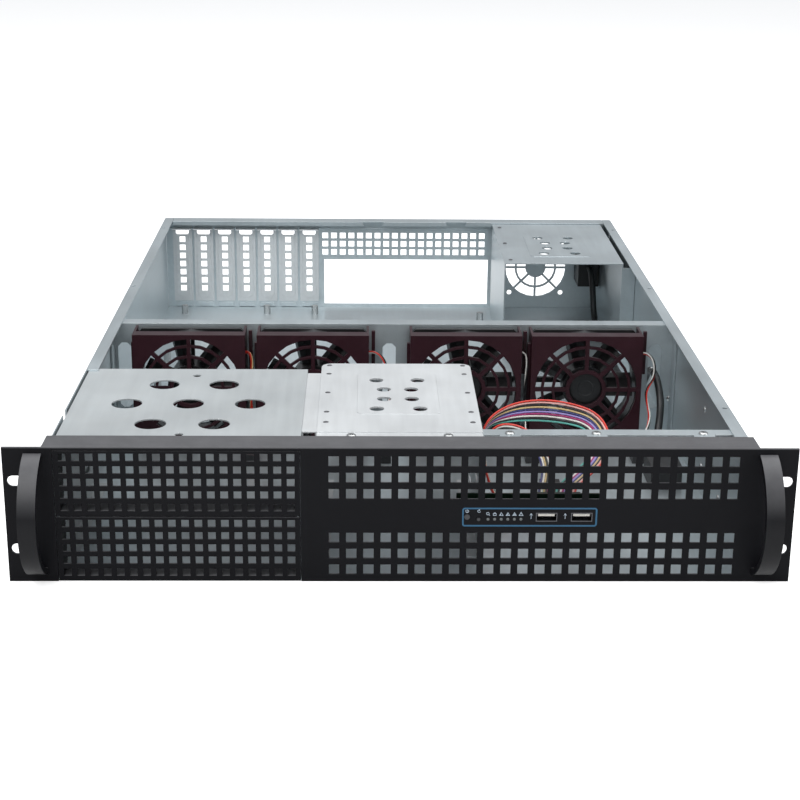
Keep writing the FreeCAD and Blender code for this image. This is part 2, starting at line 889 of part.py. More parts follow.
def make_rear_cage():
    """Cage in the rear corner, closed at the side by a front flange."""
    body = body_at("rear_cage")
    thick = S.cage_steel
    top = S.cage_top
    floor = S.steel
    middle = S.rear_cage_middle
    left = middle - S.cage_width / 2
    right = middle + S.cage_width / 2
    start = from_front(S.rear_cage_front)
    profile = Drawing(body, "RearCageProfile", "XZ_Plane", start)
    profile.outline([
        (left, top),
        (left, floor),
        (left + thick, floor),
        (left + thick, top - thick),
        (right - thick, top - thick),
        (right - thick, floor),
        (right, floor),
        (right, top),
    ])
    profile.pad(S.rear_cage_rear - S.rear_cage_front)
    flange = Drawing(body, "RearCageFlange", "XZ_Plane", start)
    flange.rectangle((right - thick, inner_wall - 0.4), (floor, top - 4))
    flange.pad(thick)
    stamp_cage_top(body, "RearCage", middle, from_front(506.0), from_front(494.5))


def make_strip():
    """Channel that bridges the two front cages."""
    thick = S.cage_steel
    ends = (from_front(S.strip_front), from_front(S.strip_rear))
    low = S.cage_top - 0.6
    web = box("StripWeb", (S.strip_left, S.strip_right), ends, (low - thick, low))
    left = box("StripLeft", (S.strip_left, S.strip_left + thick), ends, (low - 9, low))
    right = box("StripRight", (S.strip_right - thick, S.strip_right), ends, (low - 9, low))
    keep(fused("StripChannel", [web, left, right]), "cage_strip")


def make_crossbar():
    """Angle that ties the drive cage to the right wall, with three tabs."""
    thick = S.cage_steel
    top = S.cage_top
    span = (S.crossbar_left, S.crossbar_right)
    start = from_front(S.crossbar_front)
    solids = [
        box("CrossbarTop", span, (start, from_front(S.crossbar_rear)), (top - thick, top)),
        box("CrossbarWeb", span, (from_front(S.crossbar_rear) - thick, from_front(S.crossbar_rear)),
            (top - S.crossbar_drop, top)),
    ]
    half = S.crossbar_tab / 2
    for index, place in enumerate((67.4, 121.4, 188.2)):
        tab = (place - half, place + half)
        solids.append(box("CrossbarTab%d" % index, tab, (from_front(12), start), (top - thick, top)))
    keep(fused("Crossbar", solids), "crossbar")


# -------------------------------------------------------------- the fan wall


def make_fan_wall():
    """Bulkhead with a bore behind each fan, cable slots and folded edges."""
    body = body_at("fan_wall")
    side = inner_wall - 0.2
    start = from_front(S.wall_front)
    plate = Drawing(body, "WallPlate", "XZ_Plane", start)
    plate.rectangle((-side, side), (S.steel, S.cage_top))
    plate.pad(S.steel)
    folds = Drawing(body, "WallFolds", "YZ_Plane", -side)
    folds.rectangle((start + S.steel, start + S.steel + S.wall_flange), (S.cage_top - S.steel, S.cage_top))
    folds.rectangle((start + S.steel, start + S.steel + S.wall_flange), (S.steel, S.steel * 2))
    folds.pad(side * 2)
    ends = Drawing(body, "WallEnds", "XZ_Plane", start)
    ends.rectangle((-side, -side + S.steel), (S.steel, S.cage_top - 8))
    ends.rectangle((side - S.steel, side), (S.steel, S.cage_top - 8))
    ends.pad(14, toward=-1)
    bores = Drawing(body, "WallBores", "XZ_Plane", start)
    for middle in (S.fan_one, S.fan_two, S.fan_three, S.fan_four):
        bores.ring(middle, S.fan_height, S.fan_bore_radius, 24)
    bores.pierce()
    half = S.wall_cable_width / 2
    slots = Drawing(body, "WallSlots", "XZ_Plane", start)
    for middle in (-4.0, -205.0, 199.5):
        across = (middle - half, middle + half)
        slots.soft_rectangle(across, (S.wall_cable_bottom, S.wall_cable_top), S.wall_cable_width * 0.29)
    slots.pierce()


FANS = (
    ("1", S.fan_one),
    ("2", S.fan_two),
    ("3", S.fan_three),
    ("4", S.fan_four),
)


def make_bracket(number, middle):
    """Clip-in plastic holder with a finger guard of two rings and eight spokes."""
    body = body_at("fan_bracket_" + number, middle, from_front(S.fan_front), S.fan_height)
    half = S.bracket_width / 2
    room = S.fan_size / 2
    bottom = S.steel - S.fan_height
    top = half
    face = Drawing(body, "BracketFace", "XZ_Plane")
    face.rectangle((-half, half), (bottom, top))
    face.ring(0, 0, S.guard_radius, 24)
    face.pad(S.bracket_face)
    spoke = Drawing(body, "BracketSpoke", "XZ_Plane")
    spoke.rectangle((-S.guard_spoke / 2, S.guard_spoke / 2), (0, S.guard_radius + 0.5))
    ring_of(body, "BracketSpokes", spoke.pad(S.bracket_face), 8)
    for name, outer, width, sides in (
        ("Outer", S.guard_outer + S.guard_rib / 2, S.guard_rib, 24),
        ("Inner", S.guard_inner + S.guard_rib / 2, S.guard_rib, 16),
        ("Hub", S.guard_hub, S.guard_hub - S.guard_eye, 16),
    ):
        rib = Drawing(body, "Bracket" + name, "XZ_Plane")
        rib.ring(0, 0, outer, sides)
        rib.ring(0, 0, outer - width, sides)
        rib.pad(S.bracket_face)
    eye = Drawing(body, "BracketEye", "XZ_Plane")
    eye.ring(0, 0, S.guard_eye, 16)
    eye.pierce()
    shelf = Drawing(body, "BracketShelf", "XZ_Plane", S.bracket_face)
    shelf.rectangle((-half, half), (room, top))
    shelf.pad(S.bracket_top - S.bracket_face)
    walls = Drawing(body, "BracketWalls", "XZ_Plane", S.bracket_face)
    walls.rectangle((-half, -room), (bottom, top))
    walls.rectangle((room, half), (bottom, top))
    walls.pad(S.fan_depth - 1)
    latch = Drawing(body, "BracketLatch", "XZ_Plane", 14)
    latch.outline([
        (half, 8),
        (half + 4.6, 8),
        (half + 4.6, top - 0.5),
        (half + 2, top - 0.5),
        (half + 2, 11),
        (half, 11),
    ])
    latch.pad(3)
    lead_hole = Drawing(body, "BracketLeadHole", "YZ_Plane", room - 1)
    lead_hole.rectangle((7, 13), (22, 31))
    lead_hole.pocket(4)
    guide = Drawing(body, "BracketGuide", "XZ_Plane", 10)
    guide.rectangle((-half - 2.2, -half), (bottom, 33))
    guide.pad(4)


def make_fan_frame(number, middle):
    """Fan housing: two ears, a duct, and a motor mount on four arms."""
    start = from_front(S.fan_front + S.bracket_face)
    body = body_at("fan_frame_" + number, middle, start, S.fan_height)
    half = S.fan_size / 2
    corner = size(3)
    ear = [
        (-half + corner, -half), (half - corner, -half), (half, -half + corner), (half, half - corner),
        (half - corner, half), (-half + corner, half), (-half, half - corner), (-half, -half + corner),
    ]
    for name, level in (("Front", size(0)), ("Rear", S.fan_depth - S.fan_ear)):
        if name == "Rear":
            duct = Drawing(body, "FrameDuct", "XZ_Plane", S.fan_ear)
            duct.ring(0, 0, half - 0.1, 16)
            duct.ring(0, 0, S.fan_bore_radius, 24)
            duct.pad(S.fan_depth - S.fan_ear * 2)
        plate = Drawing(body, "Frame" + name, "XZ_Plane", level)
        plate.outline(ear)
        plate.ring(0, 0, S.fan_bore_radius, 24)
        plate.pad(S.fan_ear)
    arm = Drawing(body, "FrameArm", "XZ_Plane", S.fan_depth - 3)
    arm.rectangle((-2, 2), (0, S.fan_bore_radius + 0.5))
    ring_of(body, "FrameArms", arm.pad(3), 4)
    mount = Drawing(body, "FrameMount", "XZ_Plane", S.fan_depth - 3)
    mount.ring(0, 0, S.fan_hub_radius, 16)
    mount.pad(3)
    spindle = Drawing(body, "FrameSpindle", "XZ_Plane", S.fan_depth - 3)
    spindle.ring(0, 0, S.spindle_radius, 12)
    spindle.pad(12, toward=-1)


def make_rotor(number, middle):
    """Hub cup with seven cambered, pitched blades."""
    start = from_front(S.fan_front + S.bracket_face + 2)
    body = body_at("fan_rotor_" + number, middle, start, S.fan_height)
    depth = S.fan_depth - 3 - 2 - 0.2
    hub = Drawing(body, "RotorHub", "XZ_Plane")
    hub.ring(0, 0, S.fan_hub_radius, 24)
    hub.pad(depth)
    # The blade's section: a camber line of three straight runs, given a thickness.
    pitch = math.radians(S.blade_pitch.value)
    half = S.blade_chord / 2
    camber = ((-1.0, 0.0), (-0.4, 1.0), (0.4, 1.0), (1.0, 0.0))
    section = []
    for lift, along in ((0.5, camber), (-0.5, tuple(reversed(camber)))):
        for reach, bow in along:
            run = half * reach
            rise = S.blade_camber * bow + S.blade_thick * lift
            section.append((depth / 2 + run * math.cos(pitch) - rise * math.sin(pitch),
                            run * math.sin(pitch) + rise * math.cos(pitch)))
    blade = Drawing(body, "RotorBlade", "YZ_Plane", S.fan_hub_radius - 2.5)
    blade.outline(section)
    ring_of(body, "RotorBlades", blade.pad(S.blade_tip - S.fan_hub_radius + 2.5), 7)
    bore = Drawing(body, "RotorBore", "XZ_Plane", depth)
    bore.ring(0, 0, (S.spindle_radius + S.spindle_gap) / math.cos(math.pi / 12), 12)
    bore.pocket(13, toward=-1)


# --------------------------------------------------------------- rear panel


def make_rear_panel():
    """Rear sheet: a ledge and top flange, slots, port window, vents, grille."""
    body = body_at("rear_panel")
    inner = rear - S.steel
    low_inner = inner - S.rear_ledge_depth
    ledge = S.rear_ledge
    top = S.case_height
    start = rear - S.rear_flange
    profile = Drawing(body, "RearProfile", "YZ_Plane", -inner_wall + 0.2)
    profile.outline([
        (low_inner, S.steel),
        (low_inner + S.steel, S.steel),
        (low_inner + S.steel, ledge - S.steel),
        (rear, ledge - S.steel),
        (rear, top),
        (start, top),
        (start, top - S.rear_lip),
        (start + S.steel, top - S.rear_lip),
        (start + S.steel, lid_seat),
        (inner, lid_seat),
        (inner, ledge),
        (low_inner, ledge),
    ])
    profile.pad((inner_wall - 0.2) * 2)
    flange_end = half_body - S.side_flange - 0.3
    relief = Drawing(body, "RearRelief", "XZ_Plane", rear)
    for side in (-1, 1):
        relief.rectangle((flange_end * side, half_body * side), (top - S.rear_lip - 0.2, top + 1))
    relief.pierce()
    notch = Drawing(body, "RearNotches", "XZ_Plane", start - 1)
    for left in (-25.3, 54.2):
        notch.outline([
            (left, top + 1),
            (left + 2, top - S.rear_lip - 1),
            (left + 19, top - S.rear_lip - 1),
            (left + 21, top + 1),
        ])
    notch.pocket(4)
    slot = Drawing(body, "RearSlot", "XZ_Plane", rear)
    half_slot = S.slot_opening / 2
    slot.rectangle((S.slot_first - half_slot, S.slot_first + half_slot), (S.slot_low, ledge - S.steel))
    row_of(body, "RearSlots", slot, slot.pierce(), "H_Axis", 7, S.slot_pitch)
    window = Drawing(body, "RearWindow", "XZ_Plane", rear)
    window.rectangle((S.port_left, S.port_left + S.port_width), (S.port_low, S.port_low + S.port_height))
    window.pierce()
    hook = Drawing(body, "RearHook", "XZ_Plane", low_inner)
    hook.rectangle((S.slot_first - 7.5, S.slot_first + 7.5), (S.steel + 0.6, S.steel + 4.4))
    row_of(body, "RearHooks", hook, hook.pad(1.4, toward=-1), "H_Axis", 7, S.slot_pitch)
    disc = Drawing(body, "RearGrille", "XZ_Plane", low_inner)
    disc.ring(S.grille_middle, S.grille_height, S.grille_radius, 24)
    disc.pierce()
    cx, cz = S.grille_middle, S.grille_height
    reach = S.grille_radius + 0.5
    rib = S.grille_rib / 2
    lean = rib * math.sqrt(0.5)
    slant = reach * math.sqrt(0.5)
    bars = (
        [(cx - reach, cz - rib), (cx + reach, cz - rib), (cx + reach, cz + rib), (cx - reach, cz + rib)],
        [(cx - rib, cz - reach), (cx + rib, cz - reach), (cx + rib, cz + reach), (cx - rib, cz + reach)],
        [(cx - slant + lean, cz - slant - lean), (cx + slant + lean, cz + slant - lean),
         (cx + slant - lean, cz + slant + lean), (cx - slant - lean, cz - slant + lean)],
        [(cx - slant - lean, cz + slant - lean), (cx + slant - lean, cz - slant - lean),
         (cx + slant + lean, cz - slant + lean), (cx - slant + lean, cz + slant + lean)],
    )
    for index, bar in enumerate(bars):
        spoke = Drawing(body, "RearSpoke%d" % index, "XZ_Plane", low_inner)
        spoke.outline(bar)
        spoke.pad(S.steel)
    ring = Drawing(body, "RearRing", "XZ_Plane", low_inner)
    ring.ring(cx, cz, S.grille_ring + rib, 24)
    ring.ring(cx, cz, S.grille_ring - rib, 24)
    ring.pad(S.steel)
    hub = Drawing(body, "RearHub", "XZ_Plane", low_inner)
    hub.ring(cx, cz, S.grille_hub, 16)
    hub.pad(S.steel)
    inlet = Drawing(body, "RearInlet", "XZ_Plane", rear)
    half_wide = S.inlet_width / 2 + 0.1
    half_tall = S.inlet_tall / 2 + 0.1
    inlet.rectangle((S.inlet_middle - half_wide, S.inlet_middle + half_wide),
                    (S.inlet_height - half_tall, S.inlet_height + half_tall))
    inlet.pierce()
    screws = Drawing(body, "RearScrewHoles", "XZ_Plane", rear)
    for across in (-0.5, 0.5):
        for up in (-0.5, 0.5):
            screws.ring(cx + S.grille_screw_pitch * across, cz + S.grille_screw_pitch * up,
                        S.grille_screw_radius, 12)
    screws.pierce()
    vent = Drawing(body, "RearVent", "XZ_Plane", rear)
    half_vent = S.vent_hole / 2
    vent.rectangle((S.vent_first - half_vent, S.vent_first + half_vent),
                   (S.vent_low - half_vent, S.vent_low + half_vent))
    grid(body, "RearVents", vent, vent.pierce(),
         (S.vent_columns, S.vent_pitch), (S.vent_rows, S.vent_row_pitch))


def make_slot_cover(number):
    """Vented slot cover with a raised field and a folded top tab."""
    low_inner = rear - S.steel - S.rear_ledge_depth
    middle = S.slot_first + S.slot_pitch * (number - 1)
    name = "slot_cover_%d" % number
    body = body_at(name, middle, low_inner, 0)
    half = S.slot_cover_width / 2
    thick = size(0.9)
    plate = Drawing(body, name + "Plate", "XZ_Plane")
    plate.rectangle((-half, half), (S.slot_cover_low, S.rear_ledge))
    plate.pad(thick, toward=-1)
    raised = S.slot_emboss_width / 2
    field = Drawing(body, name + "Field", "XZ_Plane", -thick)
    field.soft_rectangle((-raised, raised), (S.slot_cover_low + 3.4, S.rear_ledge - 1), raised * 0.55)
    field.pad(0.4, toward=-1)
    half_hole = S.slot_hole / 2
    hole = Drawing(body, name + "Hole", "XZ_Plane")
    hole.rectangle((-half_hole, half_hole), (S.slot_hole_low - half_hole, S.slot_hole_low + half_hole))
    row_of(body, name + "Holes", hole, hole.pierce(), "V_Axis", S.slot_holes, S.slot_hole_pitch)
    wide = S.slot_window_width / 2
    low = S.slot_window_low
    window = Drawing(body, name + "Window", "XZ_Plane")
    window.soft_rectangle((-wide, wide), (low, low + S.slot_window_height), size(1.3))
    window.pierce()
    tab = Drawing(body, name + "Tab", "XZ_Plane")
    tab.rectangle((-half, half), (S.rear_ledge, S.rear_ledge + thick))
    tab.pad(10, toward=-1)
    lip = Drawing(body, name + "TabRest", "XZ_Plane")
    lip.rectangle((-half, half), (S.rear_ledge, S.rear_ledge + thick))
    lip.pad(S.rear_ledge_depth - 0.2)


# --------------------------------------------------------------- control row


def make_button(name, place, height, radius):
    """Plunger with a collar behind the panel that keeps it in."""
    back = from_front(S.steel)
    reach = radius - S.button_gap
    stem = prism(name + "Stem", "y", (place, front - S.button_proud, height), reach, 11.2, 16)
    collar = prism(name + "Collar", "y", (place, back + 0.1, height), radius + 0.7, 1.2, 16)
    keep(fused(name + "Plunger", [stem, collar]), name)


def make_usb(name, middle):
    """Shell and tongue of one socket."""
    half_w = S.usb_width / 2 - 0.05
    half_t = S.usb_tall / 2 - 0.05
    low, high = S.usb_height - half_t, S.usb_height + half_t
    back = from_front(S.board_front)
    shell = box(name + "Shell", (middle - half_w, middle + half_w), (front, back), (low, high))
    wall = size(0.35)
    inside = box(name + "Inside", (middle - half_w + wall, middle + half_w - wall),
                 (front - 1, back - 1), (low + wall, high - wall))
    tongue = box(name + "Tongue", (middle - 5.2, middle + 5.2), (from_front(1.4), back - 1),
                 (S.usb_height + 0.1, S.usb_height + 1.7))
    keep(fused(name + "Socket", [cut(name + "Hollow", shell, [inside]), tongue]), name)


def make_control_board():
    """Circuit board that the buttons, lamps and sockets meet."""
    start = from_front(S.board_front)
    thick = size(1.6)
    board = box("BoardPlate", (34.0, 122.5), (start, start + thick), (33.6, 53.6))
    header = box("BoardHeader", (S.header_left, S.header_right),
                 (start + thick, start + thick + S.header_depth), (S.header_low, S.header_high))
    keep(fused("Board", [board, header]), "control_board")


def make_lamps():
    lamps = []
    for index in range(6):
        place = S.lamp_first + S.lamp_pitch * index
        start = (place, from_front(S.steel), S.reset_height)
        lamps.append(prism("Lamp%d" % index, "y", start, S.lamp_radius, S.board_front - S.steel, 8))
    keep(grouped("Lamps", lamps), "indicator_lamps")


# ------------------------------------------------------------ small hardware


def make_standoffs():
    """Hexagonal posts on the board's standard hole pattern."""
    left, back = S.standoff_left, S.standoff_rear
    places = [
        (left, back), (left + 78.74, back), (left + 124.46, back), (left + 281.94, back - 22.86),
        (left, back - 154.94), (left + 124.46, back - 154.94), (left + 281.94, back - 154.94),
        (left, back - 227.33), (left + 124.46, back - 227.33), (left + 281.94, back - 227.33),
    ]
    posts = []
    for index, (across, along) in enumerate(places):
        base = (across, from_front(along), S.steel)
        posts.append(prism("Standoff%d" % index, "z", base, S.standoff_corner, S.standoff_height, 6))
    keep(grouped("Standoffs", posts), "board_standoffs")


def make_top_screws():
    """Pan heads on the front flange of the drive cage and on the crossbar."""
    ledge = S.cage_top - S.cage_steel * 0.8
    places = [(S.drive_cage_middle - 30, 26.6, ledge), (S.drive_cage_middle + 30, 26.6, ledge)]
    for across in (67.4, 121.4, 188.2):
        places.append((size(across), 29.8, S.cage_top))
    heads = []
    for index, (across, along, level) in enumerate(places):
        heads.append(prism("TopScrew%d" % index, "z", (across, from_front(along), level), 3.0, 1.1, 12))
    keep(grouped("TopScrews", heads), "top_screws")


# ----------------------------------------------------------- inlet and cords


def make_inlet():
    """Mains inlet: housing through the rear panel, flange, cavity and three pins."""
    middle, height = S.inlet_middle, S.inlet_height
    half_wide, half_tall = S.inlet_width / 2, S.inlet_tall / 2
    seat = rear - S.rear_ledge_depth
    rim = S.inlet_rim
    housing = box("InletHousing", (middle - half_wide, middle + half_wide),
                  (seat - S.inlet_inside, seat), (height - half_tall, height + half_tall))
    flange = box("InletFlange", (middle - half_wide - rim, middle + half_wide + rim),
                 (seat, seat + S.inlet_flange), (height - half_tall - rim, height + half_tall + rim))
    cavity = box("InletCavity", (middle - 7.6, middle + 7.6), (seat - 15, rear + 1),
                 (height - 12, height + 12))
    pins = []
    for index, (across, up) in enumerate(((-2, -7), (2, 0), (-2, 7))):
        pins.append(box("InletPin%d" % index, (middle + across - 2, middle + across + 2),
                        (seat - 15.5, seat - 1), (height + up - 1, height + up + 1)))
    shell = cut("InletShell", fused("InletBlock", [housing, flange]), [cavity])
    keep(fused("Inlet", [shell] + pins), "ac_inlet")


def cord_path(name, points):
    """Straight runs joined by tangent arcs, each as large as its two runs allow."""
    edges = []
    radii = []
    start = points[0]
    for before, corner, after in zip(points, points[1:], points[2:]):
        coming, going = corner - before, after - corner
        reach = 0.45 * min(coming.Length, going.Length)
        half_turn = coming.getAngle(going) / 2
        radius = reach / math.tan(half_turn)
        coming.normalize()
        going.normalize()
        inward = (going - coming).normalize()
        entry, leave = corner - coming * reach, corner + going * reach
        crown = corner + inward * (radius / math.cos(half_turn) - radius)
        edges.append(Part.makeLine(start, entry))
        edges.append(Part.Arc(entry, crown, leave).toShape())
        radii.append(radius)
        start = leave
    edges.append(Part.makeLine(start, points[-1]))
    path = doc.addObject("Part::Feature", name + "Path")
    path.Shape = Part.Wire(edges)
    print("%-20s %4.0f mm long, radii %s" % (name, path.Shape.Length, " ".join("%.0f" % r for r in radii)))
    return path


def make_cord(name, points, diameter, sides):
    """A plain tube along a route; a point is X, the distance behind the front, and Z."""
    places = [Vector(x, front.value + y, z) for x, y, z in points]
    path = cord_path(name, places)
    section = doc.addObject("Part::RegularPolygon", name + "Section")
    section.Polygon = sides
    bind(section, "Circumradius", diameter / 2)
    section.Placement = FreeCAD.Placement(places[0], Rotation(Vector(0, 0, 1), places[1] - places[0]))
    tube = doc.addObject("Part::Sweep", name + "Tube")
    tube.Sections = [section]
    tube.Spine = path
    tube.Solid = True
    tube.Frenet = False
    CORDS.append((tube, path, sides, diameter.value / 2))
    keep(tube, name)


def make_connector(name, end, width, length, height, toward=-1):
    """A connector that lies on the floor at a cord's end, reaching to the front or the rear."""
    x, y, _ = end
    face = from_front(y)
    along = (face - length, face) if toward < 0 else (face, face + length)
    keep(box(name + "Block", (size(x) - width / 2, size(x) + width / 2),
             along, (S.steel, S.steel + height)), name)


CORDS = []

# The mains lead: down from the inlet, along the floor, and forward through a slot.
INLET_LEAD = [
    (191.3, 607.8, 50), (191.3, 597, 50), (191.6, 584, 44), (192, 576, 31), (192.3, 569, 16.5),
    (193, 556, 6), (194.5, 535, 4.2), (195.5, 505, 4.2), (193, 460, 4.2), (194.5, 405, 4.2),
    (199, 360, 4.6), (199.5, 332, 14), (199.5, 314, 32), (199.5, 294, 47), (199.6, 263, 50),
    (200.5, 244, 37), (199, 237.5, 21), (196, 230, 9.5), (193, 217, 4.4), (190.5, 200, 4.2),
    (190.5, 184, 4.2),
]
# Two ribbons of wires from the control board, looped up behind the crossbar.
RIBBON_UPPER = [
    (103.5, 21.6, 48), (103.5, 33, 48), (113, 47, 51), (127, 61, 57), (134, 78, 66), (128, 93, 75),
    (112, 101, 79), (93, 103, 80), (74, 102, 78), (61, 101, 69), (58, 101, 53), (58.5, 103, 36),
    (62, 106, 19), (71, 111, 7), (86, 116, 4), (100, 122, 4), (108, 134, 4), (108, 146, 4),
]
RIBBON_LOWER = [
    (90.5, 21.6, 48), (90.5, 32, 48), (96, 44, 51), (98, 58, 56), (92, 71, 60.5), (80, 80, 62),
    (68, 85, 57), (62, 87, 45), (63, 89, 31), (67, 90, 17), (76, 92, 6.5), (89, 91, 4),
    (102, 92, 4), (113, 98, 4), (120, 109, 4), (120, 121, 4),
]
# Fan leads, from each fan's own middle: narrow gaps beside two fans, open room beside the others.
NARROW = [
    (44.4, 254.6, 71.3), (46.2, 252.6, 64.5), (45.6, 251.6, 54), (45.2, 251.6, 42),
    (45, 251, 30), (45.4, 248, 18.5), (46.5, 240, 8.5), (48, 229, 2.5), (48, 218, 2.5),
]
FAN_LEADS = {
    "1": NARROW,
    "2": [
        (45.8, 254, 72), (52.5, 252, 67), (56, 250, 57), (57, 250, 45), (56.5, 249, 33),
        (55, 246, 20), (54, 239, 9), (53, 228, 2.5), (53, 217, 2.5),
    ],
    "3": NARROW,
    "4": [
        (45, 254, 71.5), (49, 252, 64), (50, 250, 53), (49, 250, 41), (47.5, 249, 29),
        (45, 245, 17.5), (41, 238, 8), (36, 229, 2.5), (36, 218, 2.5),
    ],
}


def make_fan_lead(number, middle):
    """A fan's wires, from the flat of its duct through the holder's side to a connector."""
    lean = math.pi * 5 / 16
    flat = (S.fan_size.value / 2 - 0.1) * math.cos(math.pi / 16)
    starts = []
    for reach in (flat, flat + 6.4):
        starts.append((reach * math.sin(lean), 256, S.fan_height.value + reach * math.cos(lean)))
    points = [(middle.value + x, y, z) for x, y, z in starts + FAN_LEADS[number]]
    make_cord("fan_lead_" + number, points, S.fan_lead_diameter, 6)
    make_connector("fan_plug_" + number, points[-1], size(10), size(14), size(6))


# ------------------------------------------------------------------ assembly

make_tray()
make_front_panel()
make_handle("handle_left", -1)
make_handle("handle_right", 1)
make_cover("bay_cover_upper", S.upper_cover_base)
make_cover("bay_cover_lower", S.lower_cover_base)
make_bay_cage()
make_drive_cage()
make_rear_cage()
make_strip()
make_crossbar()
make_fan_wall()
for fan_number, fan_middle in FANS:
    make_bracket(fan_number, fan_middle)
    make_fan_frame(fan_number, fan_middle)
    make_rotor(fan_number, fan_middle)
make_rear_panel()
for slot_number in range(1, 8):
    make_slot_cover(slot_number)
make_button("power_button", S.power_place, S.power_height, S.power_radius)
make_button("reset_button", S.reset_place, S.reset_height, S.reset_radius)
make_usb("usb_socket_1", S.usb_first)
make_usb("usb_socket_2", S.usb_second)
make_control_board()
make_lamps()
make_standoffs()
make_top_screws()
make_inlet()
make_cord("inlet_lead", INLET_LEAD, S.lead_diameter, 8)
make_connector("inlet_plug", INLET_LEAD[-1], size(22), size(32), size(17))
for ribbon_name, ribbon_route in (("upper", RIBBON_UPPER), ("lower", RIBBON_LOWER)):
    make_cord("ribbon_" + ribbon_name, ribbon_route, S.ribbon_diameter, 6)
    make_connector("ribbon_plug_" + ribbon_name, ribbon_route[-1], size(14), size(10), size(6.5), toward=1)
for fan_number, fan_middle in FANS:
    make_fan_lead(fan_number, fan_middle)
doc.recompute()

for item in doc.Objects:
    if "Invalid" in item.State or "Error" in item.State:
        raise RuntimeError("%s (%s) failed: %s" % (item.Name, item.Label, item.State))
for item in NODES:
    shape = item.Shape
    if shape.isNull() or not shape.isValid() or shape.Volume <= 0:
        raise RuntimeError("%s has no valid solid" % item.Label)

for tube, path, sides, radius in CORDS:
    area = sides / 2 * radius * radius * math.sin(math.tau / sides)
    if abs(tube.Shape.Volume / (area * path.Shape.Length) - 1) > 0.02:
        raise RuntimeError("%s isn't its section times its length" % tube.Label)

os.makedirs("parts", exist_ok=True)
for item in NODES:
    item.Shape.exportStep("parts/%s.step" % item.Label)
    print("%-20s %d solid(s), %10.0f mm3" % (item.Label, len(item.Shape.Solids), item.Shape.Volume))
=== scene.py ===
import math

import bmesh
import bpy
from mathutils import Matrix, Vector


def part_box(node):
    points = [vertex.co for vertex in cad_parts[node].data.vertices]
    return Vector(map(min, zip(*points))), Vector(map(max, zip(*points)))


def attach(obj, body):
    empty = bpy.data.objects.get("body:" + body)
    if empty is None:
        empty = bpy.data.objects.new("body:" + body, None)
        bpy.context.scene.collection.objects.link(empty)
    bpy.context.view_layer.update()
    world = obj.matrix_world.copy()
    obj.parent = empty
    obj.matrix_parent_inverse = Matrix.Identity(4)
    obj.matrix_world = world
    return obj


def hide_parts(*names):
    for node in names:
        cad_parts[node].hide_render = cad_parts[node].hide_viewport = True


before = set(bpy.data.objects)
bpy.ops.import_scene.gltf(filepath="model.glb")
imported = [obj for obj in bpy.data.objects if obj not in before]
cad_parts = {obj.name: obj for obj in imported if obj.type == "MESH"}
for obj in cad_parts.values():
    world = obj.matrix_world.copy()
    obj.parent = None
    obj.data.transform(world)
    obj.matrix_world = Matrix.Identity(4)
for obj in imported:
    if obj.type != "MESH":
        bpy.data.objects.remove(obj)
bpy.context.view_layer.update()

bl_info = {
    "name": "Rackmount server case",
    "version": (1, 0, 0),
    "blender": (4, 5, 0),
    "location": "View3D > Sidebar > Server case",
    "description": "Finishes and small parts of an open 2U rackmount server case",
    "category": "Object",
}

MM = 0.001
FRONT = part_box("front_panel")[0][1]
HALF_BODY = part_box("chassis_tray")[1][0]
FANS = [(index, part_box("fan_rotor_%d" % index)) for index in range(1, 5)]

# In millimetres.
FAN_HEIGHT = 44.6
FAN_SCREW_HOLE = 35.75
INLET_LEAD_RADIUS = 2.8
RIBBON_PITCH = 1.55
RIBBON_WIRE_RADIUS = 0.66
LEAD_WIRE_RADIUS = 0.54
LEAD_WIRE_OFFSET = 0.62
LEAD_TWIST = 55
LAMP_ROW = [53.0 + 4.04 * index for index in range(6)]
LAMP_HEIGHT = 41.6
LAMP_SIGN_HEIGHT = 45.1
ARROWS = (79.4, 100.3)
SOCKET_TONGUE_HEIGHT = 43.15


def at(x, behind_front, z):
    """A place in metres from millimetres across, behind the front panel, and up."""
    return Vector((x * MM, FRONT + behind_front * MM, z * MM))


# ---------------------------------------------------------------- settings


def colour_prop(name, description, value):
    return bpy.props.FloatVectorProperty(
        name=name, description=description, subtype="COLOR", size=3, min=0.0, max=1.0, default=value)


def length_prop(name, description, value):
    return bpy.props.FloatProperty(
        name=name, description=description, default=value, min=0.0, unit="LENGTH", precision=5)


def angle_prop(name, description, degrees):
    return bpy.props.FloatProperty(
        name=name, description=description, subtype="ANGLE", default=math.radians(degrees))


def number_prop(name, description, value):
    return bpy.props.FloatProperty(name=name, description=description, default=value, min=0.0)


class CaseFinishSettings(bpy.types.PropertyGroup):
    """Colours of the case's sheet metal, paint and plastics."""

    zinc: colour_prop("Zinc sheet", "Colour of the zinc-plated tray, walls and cages", (0.55, 0.61, 0.635))
    bright_zinc: colour_prop("Bright zinc sheet", "Drive cage and slot covers", (0.62, 0.64, 0.65))
    pale_zinc: colour_prop("Pale zinc sheet", "Colour of the wide bays' cage", (0.46, 0.49, 0.50))
    black_coat: colour_prop("Black coat", "Powder coat of the front panel, covers and handles",
                            (0.0042, 0.0043, 0.0056))
    maroon: colour_prop("Maroon plastic", "Fan holders", (0.024, 0.0055, 0.0095))
    fan_black: colour_prop("Fan plastic", "Fan housings and rotors", (0.007, 0.007, 0.008))
    control_blue: colour_prop("Control line", "Printed line round the controls", (0.010, 0.085, 0.17))


class CaseDetailSettings(bpy.types.PropertyGroup):
    """Sizes of the small parts that are added to the case."""

    line_width: length_prop("Line width", "Width of the printed line round the controls", 0.001)
    print_rise: length_prop("Print rise", "How far print stands off the panel", 0.00005)
    screw_radius: length_prop("Screw head radius", "Radius of a pan screw head", 0.0030)
    rivet_radius: length_prop("Rivet radius", "Radius of a dome rivet", 0.0021)


